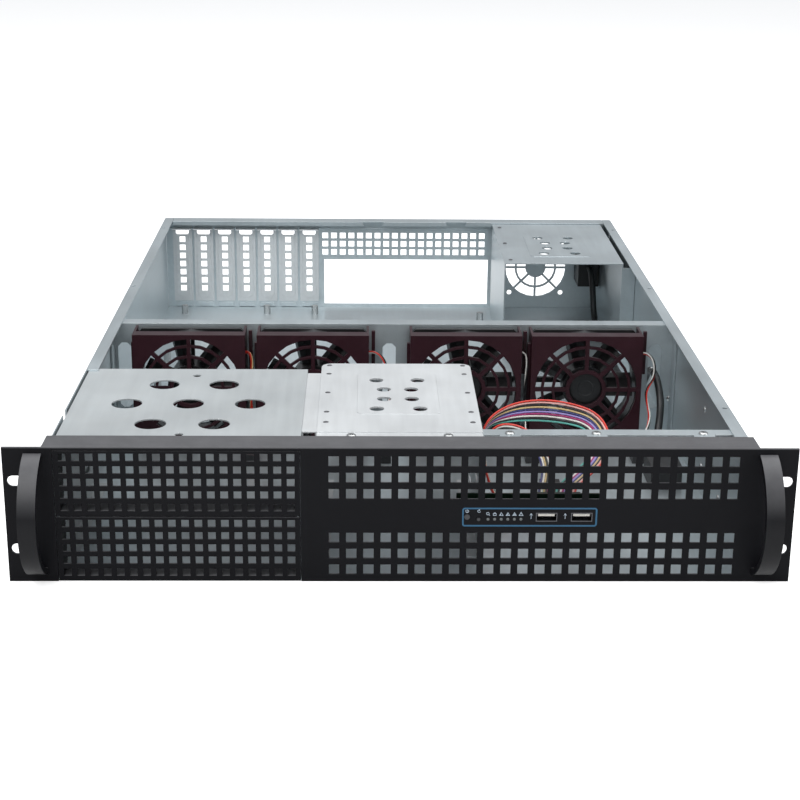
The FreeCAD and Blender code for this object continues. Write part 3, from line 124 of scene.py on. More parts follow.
class CaseStageSettings(bpy.types.PropertyGroup):
    """Floor, lamps and camera."""

    camera_place: bpy.props.FloatVectorProperty(
        name="Camera place", description="Where the camera stands", subtype="XYZ", unit="LENGTH", size=3,
        default=(-0.0235, FRONT - 0.9541, 0.4380))
    camera_pitch: angle_prop("Pitch", "How far the camera looks down", 18.51)
    camera_yaw: angle_prop("Yaw", "How far the camera turns to the right", 1.31)
    camera_roll: angle_prop("Roll", "How far the camera leans", 0.57)
    lens: number_prop("Lens", "Focal length in millimetres", 75.78)
    key_power: number_prop("Key lamp", "Power in watts", 34.0)
    fill_power: number_prop("Fill lamps", "Power in watts", 15.0)


# ------------------------------------------------------------- shader groups


def new_group(name, inputs, outputs):
    """A shader node group with typed sockets; returns it with its two end nodes."""
    group = bpy.data.node_groups.new(name, "ShaderNodeTree")
    for label, kind, value in inputs:
        socket = group.interface.new_socket(name=label, in_out="INPUT", socket_type=kind)
        if value is not None:
            socket.default_value = value
    for label, kind in outputs:
        group.interface.new_socket(name=label, in_out="OUTPUT", socket_type=kind)
    return group, group.nodes.new("NodeGroupInput"), group.nodes.new("NodeGroupOutput")


def maths(tree, operation, one, two=None, clamp=False):
    """A Math node; each side is a socket or a number."""
    node = tree.nodes.new("ShaderNodeMath")
    node.operation = operation
    node.use_clamp = clamp
    for index, side in enumerate((one, two)):
        if side is None:
            continue
        if isinstance(side, (int, float)):
            node.inputs[index].default_value = side
        else:
            tree.links.new(side, node.inputs[index])
    return node.outputs[0]


def mixed(tree, factor, one, two):
    """A colour Mix node."""
    node = tree.nodes.new("ShaderNodeMix")
    node.data_type = "RGBA"
    for socket, side in ((node.inputs[0], factor), (node.inputs[6], one), (node.inputs[7], two)):
        if isinstance(side, (int, float, tuple)):
            socket.default_value = side
        else:
            tree.links.new(side, socket)
    return node.outputs[2]


def noise(tree, vector, scale, detail=3.0, roughness=0.5):
    """A noise texture's factor; its scale is a socket or a number."""
    node = tree.nodes.new("ShaderNodeTexNoise")
    node.inputs["Detail"].default_value = detail
    node.inputs["Roughness"].default_value = roughness
    tree.links.new(vector, node.inputs["Vector"])
    if isinstance(scale, (int, float)):
        node.inputs["Scale"].default_value = scale
    else:
        tree.links.new(scale, node.inputs["Scale"])
    return node.outputs["Fac"]


def spread(tree, value, low, high, out_low=0.0, out_high=1.0):
    """A value's range mapped to another, and held inside it."""
    node = tree.nodes.new("ShaderNodeMapRange")
    node.inputs["From Min"].default_value = low
    node.inputs["From Max"].default_value = high
    node.inputs["To Min"].default_value = out_low
    node.inputs["To Max"].default_value = out_high
    tree.links.new(value, node.inputs["Value"])
    return node.outputs["Result"]


def object_vector(tree):
    return tree.nodes.new("ShaderNodeTexCoord").outputs["Object"]


def build_sheet_mottle():
    """Slow cloudiness and rolling marks, as on plated sheet and large painted faces."""
    group, start, end = new_group(
        "SheetMottle",
        (("Scale", "NodeSocketFloat", 14.0), ("Streak", "NodeSocketFloat", 0.35)),
        (("Mask", "NodeSocketFloat"),))
    place = object_vector(group)
    cloud = noise(group, place, start.outputs["Scale"], 4.0, 0.55)
    stretch = group.nodes.new("ShaderNodeMapping")
    stretch.inputs["Scale"].default_value = (1.0, 0.06, 1.0)
    group.links.new(place, stretch.inputs["Vector"])
    streak = noise(group, stretch.outputs["Vector"], 260.0, 2.0, 0.6)
    amount = maths(group, "MULTIPLY", streak, start.outputs["Streak"])
    keep = maths(group, "SUBTRACT", 1.0, start.outputs["Streak"])
    whole = maths(group, "ADD", maths(group, "MULTIPLY", cloud, keep), amount)
    group.links.new(whole, end.inputs["Mask"])
    return group


def build_fine_grain():
    """Fine surface texture as a height, for bumps, and a mask, for roughness."""
    group, start, end = new_group(
        "FineGrain",
        (("Scale", "NodeSocketFloat", 1500.0),),
        (("Height", "NodeSocketFloat"), ("Mask", "NodeSocketFloat")))
    place = object_vector(group)
    fine = noise(group, place, start.outputs["Scale"], 2.0, 0.6)
    broad = noise(group, place, maths(group, "MULTIPLY", start.outputs["Scale"], 0.07), 3.0, 0.5)
    group.links.new(fine, end.inputs["Height"])
    whole = maths(group, "ADD", maths(group, "MULTIPLY", fine, 0.4), maths(group, "MULTIPLY", broad, 0.6))
    group.links.new(whole, end.inputs["Mask"])
    return group


def build_edge_wear():
    """Bare edges: 1 where the surface turns within a short distance, broken up by noise."""
    group, start, end = new_group(
        "EdgeWear",
        (("Reach", "NodeSocketFloat", 0.0005), ("Break", "NodeSocketFloat", 0.5)),
        (("Mask", "NodeSocketFloat"), ("Normal", "NodeSocketVector")))
    bevel = group.nodes.new("ShaderNodeBevel")
    bevel.samples = 4
    group.links.new(start.outputs["Reach"], bevel.inputs["Radius"])
    geometry = group.nodes.new("ShaderNodeNewGeometry")
    turn = group.nodes.new("ShaderNodeVectorMath")
    turn.operation = "DOT_PRODUCT"
    group.links.new(bevel.outputs["Normal"], turn.inputs[0])
    group.links.new(geometry.outputs["Normal"], turn.inputs[1])
    edge = spread(group, turn.outputs["Value"], 0.98, 0.80)
    rub = noise(group, object_vector(group), 90.0, 3.0, 0.6)
    limit = maths(group, "MULTIPLY", spread(group, rub, 0.35, 0.7), start.outputs["Break"])
    group.links.new(maths(group, "MULTIPLY", edge, limit, clamp=True), end.inputs["Mask"])
    group.links.new(bevel.outputs["Normal"], end.inputs["Normal"])
    return group


def build_dust_and_sheen():
    """What faces up, lightened in patches: dust on the sheet, a painted sheen on the coat, dust with some
    painted sheen on the plastics.
    """
    group, start, end = new_group(
        "DustAndSheen",
        (("Amount", "NodeSocketFloat", 0.2), ("Patches", "NodeSocketFloat", 1.0)),
        (("Mask", "NodeSocketFloat"),))
    geometry = group.nodes.new("ShaderNodeNewGeometry")
    part = group.nodes.new("ShaderNodeSeparateXYZ")
    group.links.new(geometry.outputs["Normal"], part.inputs[0])
    up = spread(group, part.outputs["Z"], 0.2, 0.9)
    patch = spread(group, noise(group, object_vector(group), 60.0, 5.0, 0.65), 0.4, 0.75)
    gaps = maths(group, "MULTIPLY", maths(group, "SUBTRACT", 1.0, patch), start.outputs["Patches"])
    cover = maths(group, "MULTIPLY", up, maths(group, "SUBTRACT", 1.0, gaps))
    mask = maths(group, "MULTIPLY", cover, start.outputs["Amount"], clamp=True)
    group.links.new(mask, end.inputs["Mask"])
    return group


GROUPS = {}
MATERIALS = {}


def placed(tree, name, **values):
    """A shader group in a material, with its own values."""
    node = tree.nodes.new("ShaderNodeGroup")
    node.node_tree = GROUPS[name]
    for label, value in values.items():
        node.inputs[label].default_value = value
    return node


def new_material(name, metallic=0.0):
    """A material kept in MATERIALS; returns its node tree and its shader."""
    material = bpy.data.materials.new(name)
    material.use_nodes = True
    shader = material.node_tree.nodes["Principled BSDF"]
    shader.inputs["Metallic"].default_value = metallic
    MATERIALS[name] = material
    return material.node_tree, shader


def solid(rgb, scale=1.0):
    return (rgb[0] * scale, rgb[1] * scale, rgb[2] * scale, 1.0)


def roughen(tree, shader, mask, low, high):
    """Roughness between two values, by a mask's middle range."""
    tree.links.new(spread(tree, mask, 0.3, 0.7, low, high), shader.inputs["Roughness"])


def bump(tree, shader, height, strength, distance, normal=None):
    node = tree.nodes.new("ShaderNodeBump")
    node.inputs["Strength"].default_value = strength
    node.inputs["Distance"].default_value = distance
    tree.links.new(height, node.inputs["Height"])
    if normal is not None:
        tree.links.new(normal, node.inputs["Normal"])
    tree.links.new(node.outputs["Normal"], shader.inputs["Normal"])


def make_sheet_material(name, rgb, metallic, rough_low, rough_high):
    """Zinc-plated sheet: cloudy, faintly rolled, brighter on its cut edges."""
    tree, shader = new_material(name, metallic=metallic)
    mottle = placed(tree, "SheetMottle", Scale=16.0, Streak=0.3)
    wear = placed(tree, "EdgeWear", Reach=0.0004, Break=0.7)
    grain = placed(tree, "FineGrain", Scale=900.0)
    dust_and_sheen = placed(tree, "DustAndSheen", Amount=0.10)
    base = mixed(tree, spread(tree, mottle.outputs["Mask"], 0.3, 0.7), solid(rgb, 0.90), solid(rgb, 1.08))
    edged = mixed(tree, wear.outputs["Mask"], base, solid((0.80, 0.82, 0.83)))
    with_dust_and_sheen = mixed(tree, dust_and_sheen.outputs["Mask"], edged, (0.55, 0.53, 0.50, 1.0))
    tree.links.new(with_dust_and_sheen, shader.inputs["Base Color"])
    roughen(tree, shader, mottle.outputs["Mask"], rough_low, rough_high)
    bump(tree, shader, grain.outputs["Height"], 0.10, 0.00008, wear.outputs["Normal"])


def make_coat_material(name, rgb, shine, rough_low, rough_high):
    """Fine-texture black powder coat, paler on its edges, with a painted sheen on what faces up."""
    tree, shader = new_material(name)
    grain = placed(tree, "FineGrain", Scale=1700.0)
    wear = placed(tree, "EdgeWear", Reach=0.0005, Break=0.25)
    mottle = placed(tree, "SheetMottle", Scale=9.0, Streak=0.0)
    # Painted sheen: what faces up is lightened almost evenly towards grey, standing in for the bright
    # surroundings that the coat reflects.
    dust_and_sheen = placed(tree, "DustAndSheen", Amount=0.8, Patches=0.2)
    base = mixed(tree, spread(tree, mottle.outputs["Mask"], 0.3, 0.7), solid(rgb, 0.9), solid(rgb, 1.15))
    speck = mixed(tree, spread(tree, grain.outputs["Mask"], 0.55, 0.8, 0.0, 0.35), base, solid(rgb, 2.4))
    edged = mixed(tree, wear.outputs["Mask"], speck, (0.06, 0.06, 0.063, 1.0))
    with_dust_and_sheen = mixed(tree, dust_and_sheen.outputs["Mask"], edged, (0.14, 0.14, 0.147, 1.0))
    shader.inputs["Specular IOR Level"].default_value = shine
    tree.links.new(with_dust_and_sheen, shader.inputs["Base Color"])
    roughen(tree, shader, grain.outputs["Mask"], rough_low, rough_high)
    bump(tree, shader, grain.outputs["Height"], 0.32, 0.00012, wear.outputs["Normal"])


def make_plastic_material(name, rgb, rough_low, rough_high, scale=700.0, strength=0.15, shine=0.5):
    """Plastic with a fine grain, paler on its edges."""
    tree, shader = new_material(name)
    grain = placed(tree, "FineGrain", Scale=scale)
    wear = placed(tree, "EdgeWear", Reach=0.0004, Break=0.35)
    # What faces up is lightened a little: dust, and in part a painted sheen.
    dust_and_sheen = placed(tree, "DustAndSheen", Amount=0.12)
    base = mixed(tree, spread(tree, grain.outputs["Mask"], 0.35, 0.7), solid(rgb, 0.85), solid(rgb, 1.2))
    edged = mixed(tree, wear.outputs["Mask"], base, solid([channel * 1.7 + 0.006 for channel in rgb]))
    with_dust_and_sheen = mixed(tree, dust_and_sheen.outputs["Mask"], edged, (0.15, 0.145, 0.15, 1.0))
    shader.inputs["Specular IOR Level"].default_value = shine
    tree.links.new(with_dust_and_sheen, shader.inputs["Base Color"])
    roughen(tree, shader, grain.outputs["Mask"], rough_low, rough_high)
    bump(tree, shader, grain.outputs["Height"], strength, 0.0001, wear.outputs["Normal"])


def make_plated_material(name, rgb):
    """Nickel-plated small parts."""
    tree, shader = new_material(name, metallic=1.0)
    grain = placed(tree, "FineGrain", Scale=1200.0)
    base = mixed(tree, grain.outputs["Mask"], solid(rgb, 0.85), solid(rgb, 1.05))
    tree.links.new(base, shader.inputs["Base Color"])
    roughen(tree, shader, grain.outputs["Mask"], 0.22, 0.38)
    bump(tree, shader, grain.outputs["Height"], 0.06, 0.00005)


def make_print_material(name, rgb):
    """Screen-printed ink."""
    tree, shader = new_material(name)
    grain = placed(tree, "FineGrain", Scale=1400.0)
    base = mixed(tree, grain.outputs["Mask"], solid(rgb, 0.8), solid(rgb, 1.15))
    tree.links.new(base, shader.inputs["Base Color"])
    roughen(tree, shader, grain.outputs["Mask"], 0.4, 0.6)
    bump(tree, shader, grain.outputs["Height"], 0.1, 0.00003)


def make_board_material(name):
    """Dark green circuit laminate with tracks under its mask."""
    tree, shader = new_material(name)
    tracks = tree.nodes.new("ShaderNodeTexBrick")
    tracks.inputs["Scale"].default_value = 260.0
    tracks.inputs["Mortar Size"].default_value = 0.03
    tree.links.new(object_vector(tree), tracks.inputs["Vector"])
    tracks.inputs["Color1"].default_value = (0.003, 0.014, 0.007, 1.0)
    tracks.inputs["Color2"].default_value = (0.004, 0.018, 0.009, 1.0)
    tracks.inputs["Mortar"].default_value = (0.010, 0.032, 0.014, 1.0)
    tree.links.new(tracks.outputs["Color"], shader.inputs["Base Color"])
    grain = placed(tree, "FineGrain", Scale=900.0)
    roughen(tree, shader, grain.outputs["Mask"], 0.25, 0.4)


def build_materials(finish):
    GROUPS["SheetMottle"] = build_sheet_mottle()
    GROUPS["FineGrain"] = build_fine_grain()
    GROUPS["EdgeWear"] = build_edge_wear()
    GROUPS["DustAndSheen"] = build_dust_and_sheen()
    make_sheet_material("ZincSheet", finish.zinc, 0.78, 0.28, 0.40)
    make_sheet_material("BrightZincSheet", finish.bright_zinc, 0.45, 0.34, 0.46)
    make_sheet_material("PaleZincSheet", finish.pale_zinc, 0.45, 0.36, 0.48)
    make_coat_material("BlackCoat", finish.black_coat, 0.11, 0.42, 0.58)
    make_coat_material("HandleCoat", finish.black_coat, 0.20, 0.30, 0.42)
    make_plastic_material("MaroonPlastic", finish.maroon, 0.30, 0.42, shine=0.28)
    make_plastic_material("FanPlastic", finish.fan_black, 0.34, 0.46)
    make_plastic_material("ButtonPlastic", (0.035, 0.036, 0.040), 0.35, 0.5)
    make_plastic_material("PinPlastic", (0.62, 0.60, 0.55), 0.35, 0.5)
    make_plastic_material("LampLens", (0.11, 0.12, 0.12), 0.18, 0.28, strength=0.05)
    make_plated_material("PlatedSteel", (0.52, 0.53, 0.53))
    make_plated_material("DarkSteel", (0.16, 0.16, 0.17))
    make_board_material("CircuitBoard")
    make_print_material("BlueInk", finish.control_blue)
    make_print_material("PaleInk", (0.42, 0.50, 0.58))
    make_plastic_material("InletPlastic", (0.012, 0.012, 0.013), 0.38, 0.5)
    make_plastic_material("PlugNylon", (0.02, 0.02, 0.022), 0.4, 0.5, strength=0.08)
    make_plastic_material("LeadJacket", (0.010, 0.011, 0.012), 0.36, 0.46, scale=450.0, strength=0.2)
    for colour_name, rgb in WIRE_COLOURS.items():
        make_plastic_material("Wire" + colour_name, rgb, 0.30, 0.40, scale=500.0, strength=0.05)


# --------------------------------------------------------------- mesh helpers


def shade(mesh, smooth):
    for face in mesh.polygons:
        face.use_smooth = smooth


def add_piece(name, mesh, material, place, turn=None, smooth=False, body="case"):
    """An object from a mesh, set at a place and turned, that rides on a CAD body."""
    piece = bpy.data.objects.new(name, mesh)
    bpy.context.scene.collection.objects.link(piece)
    if not mesh.materials:
        mesh.materials.append(MATERIALS[material])
    shade(mesh, smooth)
    matrix = Matrix.Translation(place)
    if turn is not None:
        matrix = matrix @ turn.to_4x4()
    piece.matrix_world = matrix
    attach(piece, body)
    return piece


def add_row(name, mesh, material, places, turn=None, smooth=False):
    """Numbered copies of one small piece."""
    return [add_piece("%s_%d" % (name, index + 1), mesh, material, place, turn, smooth)
            for index, place in enumerate(places)]


def in_metres(pairs):
    return [(first * MM, second * MM) for first, second in pairs]


def quad(name, corners):
    mesh = bpy.data.meshes.new(name)
    mesh.from_pydata(corners, [], [(0, 1, 2, 3)])
    return mesh


def lathe(name, profile, steps=28):
    """A mesh turned about Z from (radius, height) pairs."""
    mesh = bpy.data.meshes.new(name)
    shape = bmesh.new()
    rings = []
    for radius, height in profile:
        if radius < 1e-9:
            rings.append([shape.verts.new((0, 0, height))])
            continue
        turns = [math.tau * step / steps for step in range(steps)]
        rings.append([shape.verts.new((radius * math.cos(t), radius * math.sin(t), height)) for t in turns])
    for low, high in zip(rings, rings[1:]):
        for step in range(steps):
            following = (step + 1) % steps
            corners = [low[step % len(low)], low[following % len(low)],
                       high[following % len(high)], high[step % len(high)]]
            unique = [corner for index, corner in enumerate(corners) if corner not in corners[:index]]
            if len(unique) > 2:
                shape.faces.new(unique)
    bmesh.ops.recalc_face_normals(shape, faces=shape.faces)
    shape.to_mesh(mesh)
    shape.free()
    return mesh


def cross_cut(mesh, half_length, half_width, depth):
    """The mesh with a cross recess cut in its top."""
    body = bpy.data.objects.new("ScrewBlank", mesh)
    top = max(vertex.co.z for vertex in mesh.vertices)
    shape = bmesh.new()
    for across, along in ((half_length, half_width), (half_width, half_length)):
        made = bmesh.ops.create_cube(shape, size=2.0)["verts"]
        for vertex in made:
            taper = 1.0 if vertex.co.z > 0 else 0.55
            vertex.co = Vector((vertex.co.x * across * taper, vertex.co.y * along, top + vertex.co.z * depth))
    cutter_mesh = bpy.data.meshes.new("CrossCutter")
    shape.to_mesh(cutter_mesh)
    shape.free()
    cutter = bpy.data.objects.new("CrossCutter", cutter_mesh)
    for thing in (body, cutter):
        bpy.context.scene.collection.objects.link(thing)
    boolean = body.modifiers.new("Cross", "BOOLEAN")
    boolean.operation = "DIFFERENCE"
    boolean.solver = "EXACT"
    boolean.use_self = True
    boolean.object = cutter
    evaluated = body.evaluated_get(bpy.context.evaluated_depsgraph_get())
    result = bpy.data.meshes.new_from_object(evaluated)
    result.name = mesh.name + "Cut"
    for thing in (cutter, body):
        bpy.data.objects.remove(thing)
    return result


def screw_mesh(name, radius, rise):
    """A pan head with a cross recess, its seat at the origin."""
    profile = [(0, 0), (radius, 0), (radius, rise * 0.35), (radius * 0.93, rise * 0.68),
               (radius * 0.72, rise * 0.92), (radius * 0.4, rise), (0, rise)]
    return cross_cut(lathe(name, profile), radius * 0.55, radius * 0.13, rise * 0.55)


def dome_mesh(name, radius, rise):
    """A rivet's dome with a thin skirt."""
    profile = [(radius, 0), (radius, rise * 0.25), (radius * 0.82, rise * 0.7), (radius * 0.45, rise * 0.97),
               (radius * 0.25, rise), (radius * 0.2, rise * 0.8), (0, rise * 0.8)]
    return lathe(name, profile, 20)


def ribbon_of(name, points, width, rise, closed=False):
    """A flat printed line through points in the XZ plane, facing -Y."""
    mesh = bpy.data.meshes.new(name)
    shape = bmesh.new()
    count = len(points)
    sides = []
    for index, point in enumerate(points):
        before = points[index - 1] if closed or index else point
        after = points[(index + 1) % count] if closed or index < count - 1 else point
        one = (Vector(point) - Vector(before)).normalized() if before != point else None
        two = (Vector(after) - Vector(point)).normalized() if after != point else None
        one = one or two
        two = two or one
        aim = (one + two).normalized()
        side = Vector((-aim.y, aim.x))
        reach = width / 2 / max(0.3, side.dot(Vector((-one.y, one.x))))
        sides.append([Vector(point) + side * reach, Vector(point) - side * reach])
    front_row = [[shape.verts.new((spot.x, -rise, spot.y)) for spot in pair] for pair in sides]
    back_row = [[shape.verts.new((spot.x, rise * 0.5, spot.y)) for spot in pair] for pair in sides]
    last = count if closed else count - 1
    for index in range(last):
        following = (index + 1) % count
        a, b = front_row[index], front_row[following]
        c, d = back_row[index], back_row[following]
        shape.faces.new((a[0], b[0], b[1], a[1]))
        shape.faces.new((c[1], d[1], d[0], c[0]))
        shape.faces.new((a[0], c[0], d[0], b[0]))
        shape.faces.new((a[1], b[1], d[1], c[1]))
    if not closed:
        for a, c in ((front_row[0], back_row[0]), (front_row[-1], back_row[-1])):
            shape.faces.new((a[0], a[1], c[1], c[0]))
    bmesh.ops.recalc_face_normals(shape, faces=shape.faces)
    shape.to_mesh(mesh)
    shape.free()
    return mesh


def arc_points(centre, radius, start, end, steps):
    return [(centre[0] + radius * math.cos(math.radians(start + (end - start) * step / steps)),
             centre[1] + radius * math.sin(math.radians(start + (end - start) * step / steps)))
            for step in range(steps + 1)]


def joined(name, meshes):
    """One mesh from several."""
    shape = bmesh.new()
    for mesh in meshes:
        shape.from_mesh(mesh)
    whole = bpy.data.meshes.new(name)
    shape.to_mesh(whole)
    shape.free()
    return whole


def smooth_curve(name, places):
    """An open curve with the places as its control points."""
    curve = bpy.data.curves.new(name, "CURVE")
    curve.dimensions = "3D"
    spline = curve.splines.new("NURBS")
    spline.points.add(len(places) - 1)
    for point, place in zip(spline.points, places):
        point.co = (*place, 1.0)
    spline.order_u = 3
    spline.use_endpoint_u = True
    spline.resolution_u = 8
    return curve


def line_along(places):
    """Close points on the smooth curve through a route."""
    holder = bpy.data.objects.new("Route", smooth_curve("Route", places))
    mesh = bpy.data.meshes.new_from_object(holder)
    line = [vertex.co.copy() for vertex in mesh.vertices]
    bpy.data.objects.remove(holder)
    bpy.data.meshes.remove(mesh)
    return line


def cross_frames(line):
    """Two directions across the line at each of its points, turning as little as they can."""
    frames = []
    across = None
    for index in range(len(line)):
        ahead = (line[min(index + 1, len(line) - 1)] - line[max(index - 1, 0)]).normalized()
        across = (ahead.orthogonal() if across is None else across - ahead * across.dot(ahead)).normalized()
        frames.append((across, ahead.cross(across)))
    return frames


def wire_bundle(name, wires, radius, materials, sides=8):
    """One mesh of round wires, each a list of points, taking the materials in turn."""
    mesh = bpy.data.meshes.new(name)
    shape = bmesh.new()
    for order, line in enumerate(wires):
        rings = []
        for point, (across, up) in zip(line, cross_frames(line)):
            turns = [math.tau * step / sides for step in range(sides)]
            rings.append([shape.verts.new(point + (across * math.cos(t) + up * math.sin(t)) * radius)
                          for t in turns])
        faces = [shape.faces.new(rings[0]), shape.faces.new(rings[-1])]
        for low, high in zip(rings, rings[1:]):
            for step in range(sides):
                following = (step + 1) % sides
                faces.append(shape.faces.new((low[step], low[following], high[following], high[step])))
        for face in faces:
            face.material_index = order
    bmesh.ops.recalc_face_normals(shape, faces=shape.faces)
    shape.to_mesh(mesh)
    shape.free()
    for material in materials:
        mesh.materials.append(MATERIALS[material])
    shade(mesh, True)
    return mesh


FACE_FRONT = Matrix.Rotation(math.radians(90), 3, "X")
FACE_LEFT = Matrix.Rotation(math.radians(-90), 3, "Y")
FACE_REAR = Matrix.Rotation(math.radians(-90), 3, "X")


# --------------------------------------------------------------------- routes

# A point is across, behind the front panel's face, and up, in millimetres.
INLET_LEAD = [
    (191.3, 607.8, 50), (191.3, 597, 50), (191.6, 584, 44), (192, 576, 31), (192.3, 569, 16.5),
    (193, 556, 6), (194.5, 535, 4.2), (195.5, 505, 4.2), (193, 460, 4.2), (194.5, 405, 4.2),
    (199, 360, 4.6), (199.5, 332, 14), (199.5, 314, 32), (199.5, 294, 47), (199.6, 263, 50),
    (200.5, 244, 37), (199, 237.5, 21), (196, 230, 9.5), (193, 217, 4.4), (190.5, 200, 4.2),
    (190.5, 184, 4.2),
]
# A ribbon's points each have the way that its wires lie side by side.
RIBBON_UPPER = [
    ((103.2, 21.6, 48), (0.85, 0, 0)), ((103.2, 33, 48), (0.85, 0, 0)), ((113, 47, 51), (0.8, -0.5, 0.1)),
    ((127, 61, 57), (0.75, -0.5, 0.2)), ((133, 78, 66), (0.75, -0.1, 0.35)), ((127, 92, 74), (0.6, 0, 0.75)),
    ((111, 100, 76.5), (0.25, 0, 1.0)), ((92, 103, 77.5), (0, 0, 1.05)), ((73, 101, 76), (-0.12, -0.1, 0.85)),
    ((58, 98, 70), (-0.1, -0.5, 0.45)), ((54, 98, 55), (-0.1, -1, 0.1)), ((58, 101, 38), (0, -1, 0)),
    ((62, 106, 21), (0, -1, 0)), ((71, 111, 8), (0.1, -1, 0)), ((86, 116, 4), (0.25, -0.95, 0)),
    ((100, 122, 4), (0.6, -0.8, 0)), ((108, 134, 4), (0.85, -0.1, 0)), ((108, 146, 4), (0.85, 0, 0)),
]
RIBBON_LOWER = [
    ((90.5, 21.6, 48), (1, 0, 0)), ((90.5, 32, 48), (1, 0, 0)), ((94, 44, 54), (0.8, -0.5, 0.1)),
    ((93, 57, 62), (0.7, -0.2, 0.5)), ((86, 68, 69), (0.35, 0, 0.9)), ((75, 76, 73), (0.05, 0, 1)),
    ((63, 80, 72), (-0.15, -0.15, 0.8)), ((55.5, 83, 61), (-0.15, -0.9, 0.3)), ((57, 86, 44), (-0.1, -1, 0)),
    ((62, 89, 26), (0, -1, 0)), ((71, 93, 10), (0, -1, 0)), ((84, 97, 4), (0, -1, 0)),
    ((98, 99, 4), (0.2, -0.95, 0)), ((111, 103, 4), (0.6, -0.75, 0)), ((119.5, 109, 4), (0.95, -0.2, 0)),
    ((120, 121, 4), (1, 0, 0)),
]
UPPER_COLOURS = ("Red", "Pink", "Black", "Sand", "Navy", "Lilac", "Magenta", "White", "Black", "Teal")
LOWER_COLOURS = ("Red", "White", "Black", "Sand", "White", "Navy")
# A fan lead's places across are from its fan's middle.
FAN_ROOT = [(32.54, 256, 66.34), (37.86, 256, 69.9)]
NARROW = FAN_ROOT + [
    (44.4, 254.6, 71.3), (46.2, 252.6, 64.5), (45.6, 251.6, 54), (45.2, 251.6, 42),
    (45, 251, 30), (45.4, 248, 18.5), (46.5, 240, 8.5), (48, 229, 2.5), (48, 218, 2.5),
]
FAN_LEADS = {
    1: (NARROW, 0.102, ("Red", "Red", "Sand")),
    2: (FAN_ROOT + [
        (45.8, 254, 72), (52.5, 252, 67), (56, 250, 57), (57, 250, 45), (56.5, 249, 33),
        (55, 246, 20), (54, 239, 9), (53, 228, 2.5), (53, 217, 2.5),
    ], 0.107, ("Red", "White", "Black")),
    3: (NARROW, 0.102, ("White", "Black", "Black")),
    4: (FAN_ROOT + [
        (46, 254, 71.5), (51.5, 252, 65), (52, 250, 54), (45.5, 249, 44), (46.5, 248, 34),
        (50, 246, 22), (44, 238, 9), (36, 229, 2.5), (36, 218, 2.5),
    ], 0.106, ("White", "Red", "Black")),
}
WIRE_COLOURS = {
    "Red": (0.62, 0.035, 0.02), "Pink": (0.75, 0.42, 0.38), "Black": (0.010, 0.010, 0.012),
    "Sand": (0.62, 0.46, 0.22), "Navy": (0.03, 0.035, 0.16), "Lilac": (0.34, 0.28, 0.62),
    "Magenta": (0.36, 0.02, 0.14), "White": (0.78, 0.76, 0.72), "Teal": (0.10, 0.42, 0.36),
}


# ------------------------------------------------------------------ operators


class CaseOperator:
    bl_options = {"REGISTER", "UNDO"}


class CASE_OT_materials(CaseOperator, bpy.types.Operator):
    """Make the materials of the case"""

    bl_idname = "case.materials"
    bl_label = "Make the materials"

    def execute(self, context):
        build_materials(context.scene.case_finish)
        return {"FINISHED"}


class CASE_OT_cords(CaseOperator, bpy.types.Operator):
    """Lay the mains lead, the two ribbons and the fans' wires"""

    bl_idname = "case.cords"
    bl_label = "Lay the cords"

    def execute(self, context):
        self.lay_inlet_lead()
        self.lay_ribbon("upper", RIBBON_UPPER, 0.280, UPPER_COLOURS)
        self.lay_ribbon("lower", RIBBON_LOWER, 0.208, LOWER_COLOURS)
        for index, (low, high) in FANS:
            self.lay_fan_lead(index, (low[0] + high[0]) / 2 / MM)
        return {"FINISHED"}

    def lay(self, name, shape, node, plug, places, length, diameter, stiffness, line=None):
        """Put a cord in the place of its CAD tube, and hide the tube."""
        piece = bpy.data.objects.new(name, shape)
        bpy.context.scene.collection.objects.link(piece)
        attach(piece, "case")
        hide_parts(node)

    def lay_inlet_lead(self):
        places = [at(*spot) for spot in INLET_LEAD]
        curve = smooth_curve("InletLead", places)
        curve.bevel_depth = INLET_LEAD_RADIUS * MM
        curve.bevel_resolution = 5
        curve.use_fill_caps = True
        curve.materials.append(MATERIALS["LeadJacket"])
        self.lay("mains_lead", curve, "inlet_lead", "inlet_plug", places, 0.478, 0.0056, "medium")

    def lay_ribbon(self, name, route, length, colours):
        places = [at(*spot) for spot, _ in route]
        pitch = RIBBON_PITCH * MM
        edge = [place + Vector(side) * pitch for place, (_, side) in zip(places, route)]
        line = line_along(places)
        steps = [beside - point for point, beside in zip(line, line_along(edge))]
        wires = []
        for order in range(len(colours)):
            place = (len(colours) - 1) / 2 - order
            wires.append([point + step * place for point, step in zip(line, steps)])
        mesh = wire_bundle("Ribbon", wires, RIBBON_WIRE_RADIUS * MM, ["Wire" + colour for colour in colours])
        width = pitch * (len(colours) - 1) + RIBBON_WIRE_RADIUS * 2 * MM
        self.lay("ribbon_wires_" + name, mesh, "ribbon_" + name, "ribbon_plug_" + name, places,
                 length, width, "limp", line)

    def lay_fan_lead(self, index, middle):
        route, length, colours = FAN_LEADS[index]
        places = [at(middle + x, y, z) for x, y, z in route]
        line = line_along(places)
        wires = []
        for order in range(len(colours)):
            wire = []
            run = 0.0
            for step, (point, (across, up)) in enumerate(zip(line, cross_frames(line))):
                run += (point - line[max(step - 1, 0)]).length
                turn = math.tau * (order / len(colours) + run / (LEAD_TWIST * MM))
                wire.append(point + (across * math.cos(turn) + up * math.sin(turn)) * LEAD_WIRE_OFFSET * MM)
            wires.append(wire)
        mesh = wire_bundle("FanLead", wires, LEAD_WIRE_RADIUS * MM, ["Wire" + colour for colour in colours])
        self.lay("fan_wires_%d" % index, mesh, "fan_lead_%d" % index, "fan_plug_%d" % index, places,
                 length, 0.0024, "limp", line)


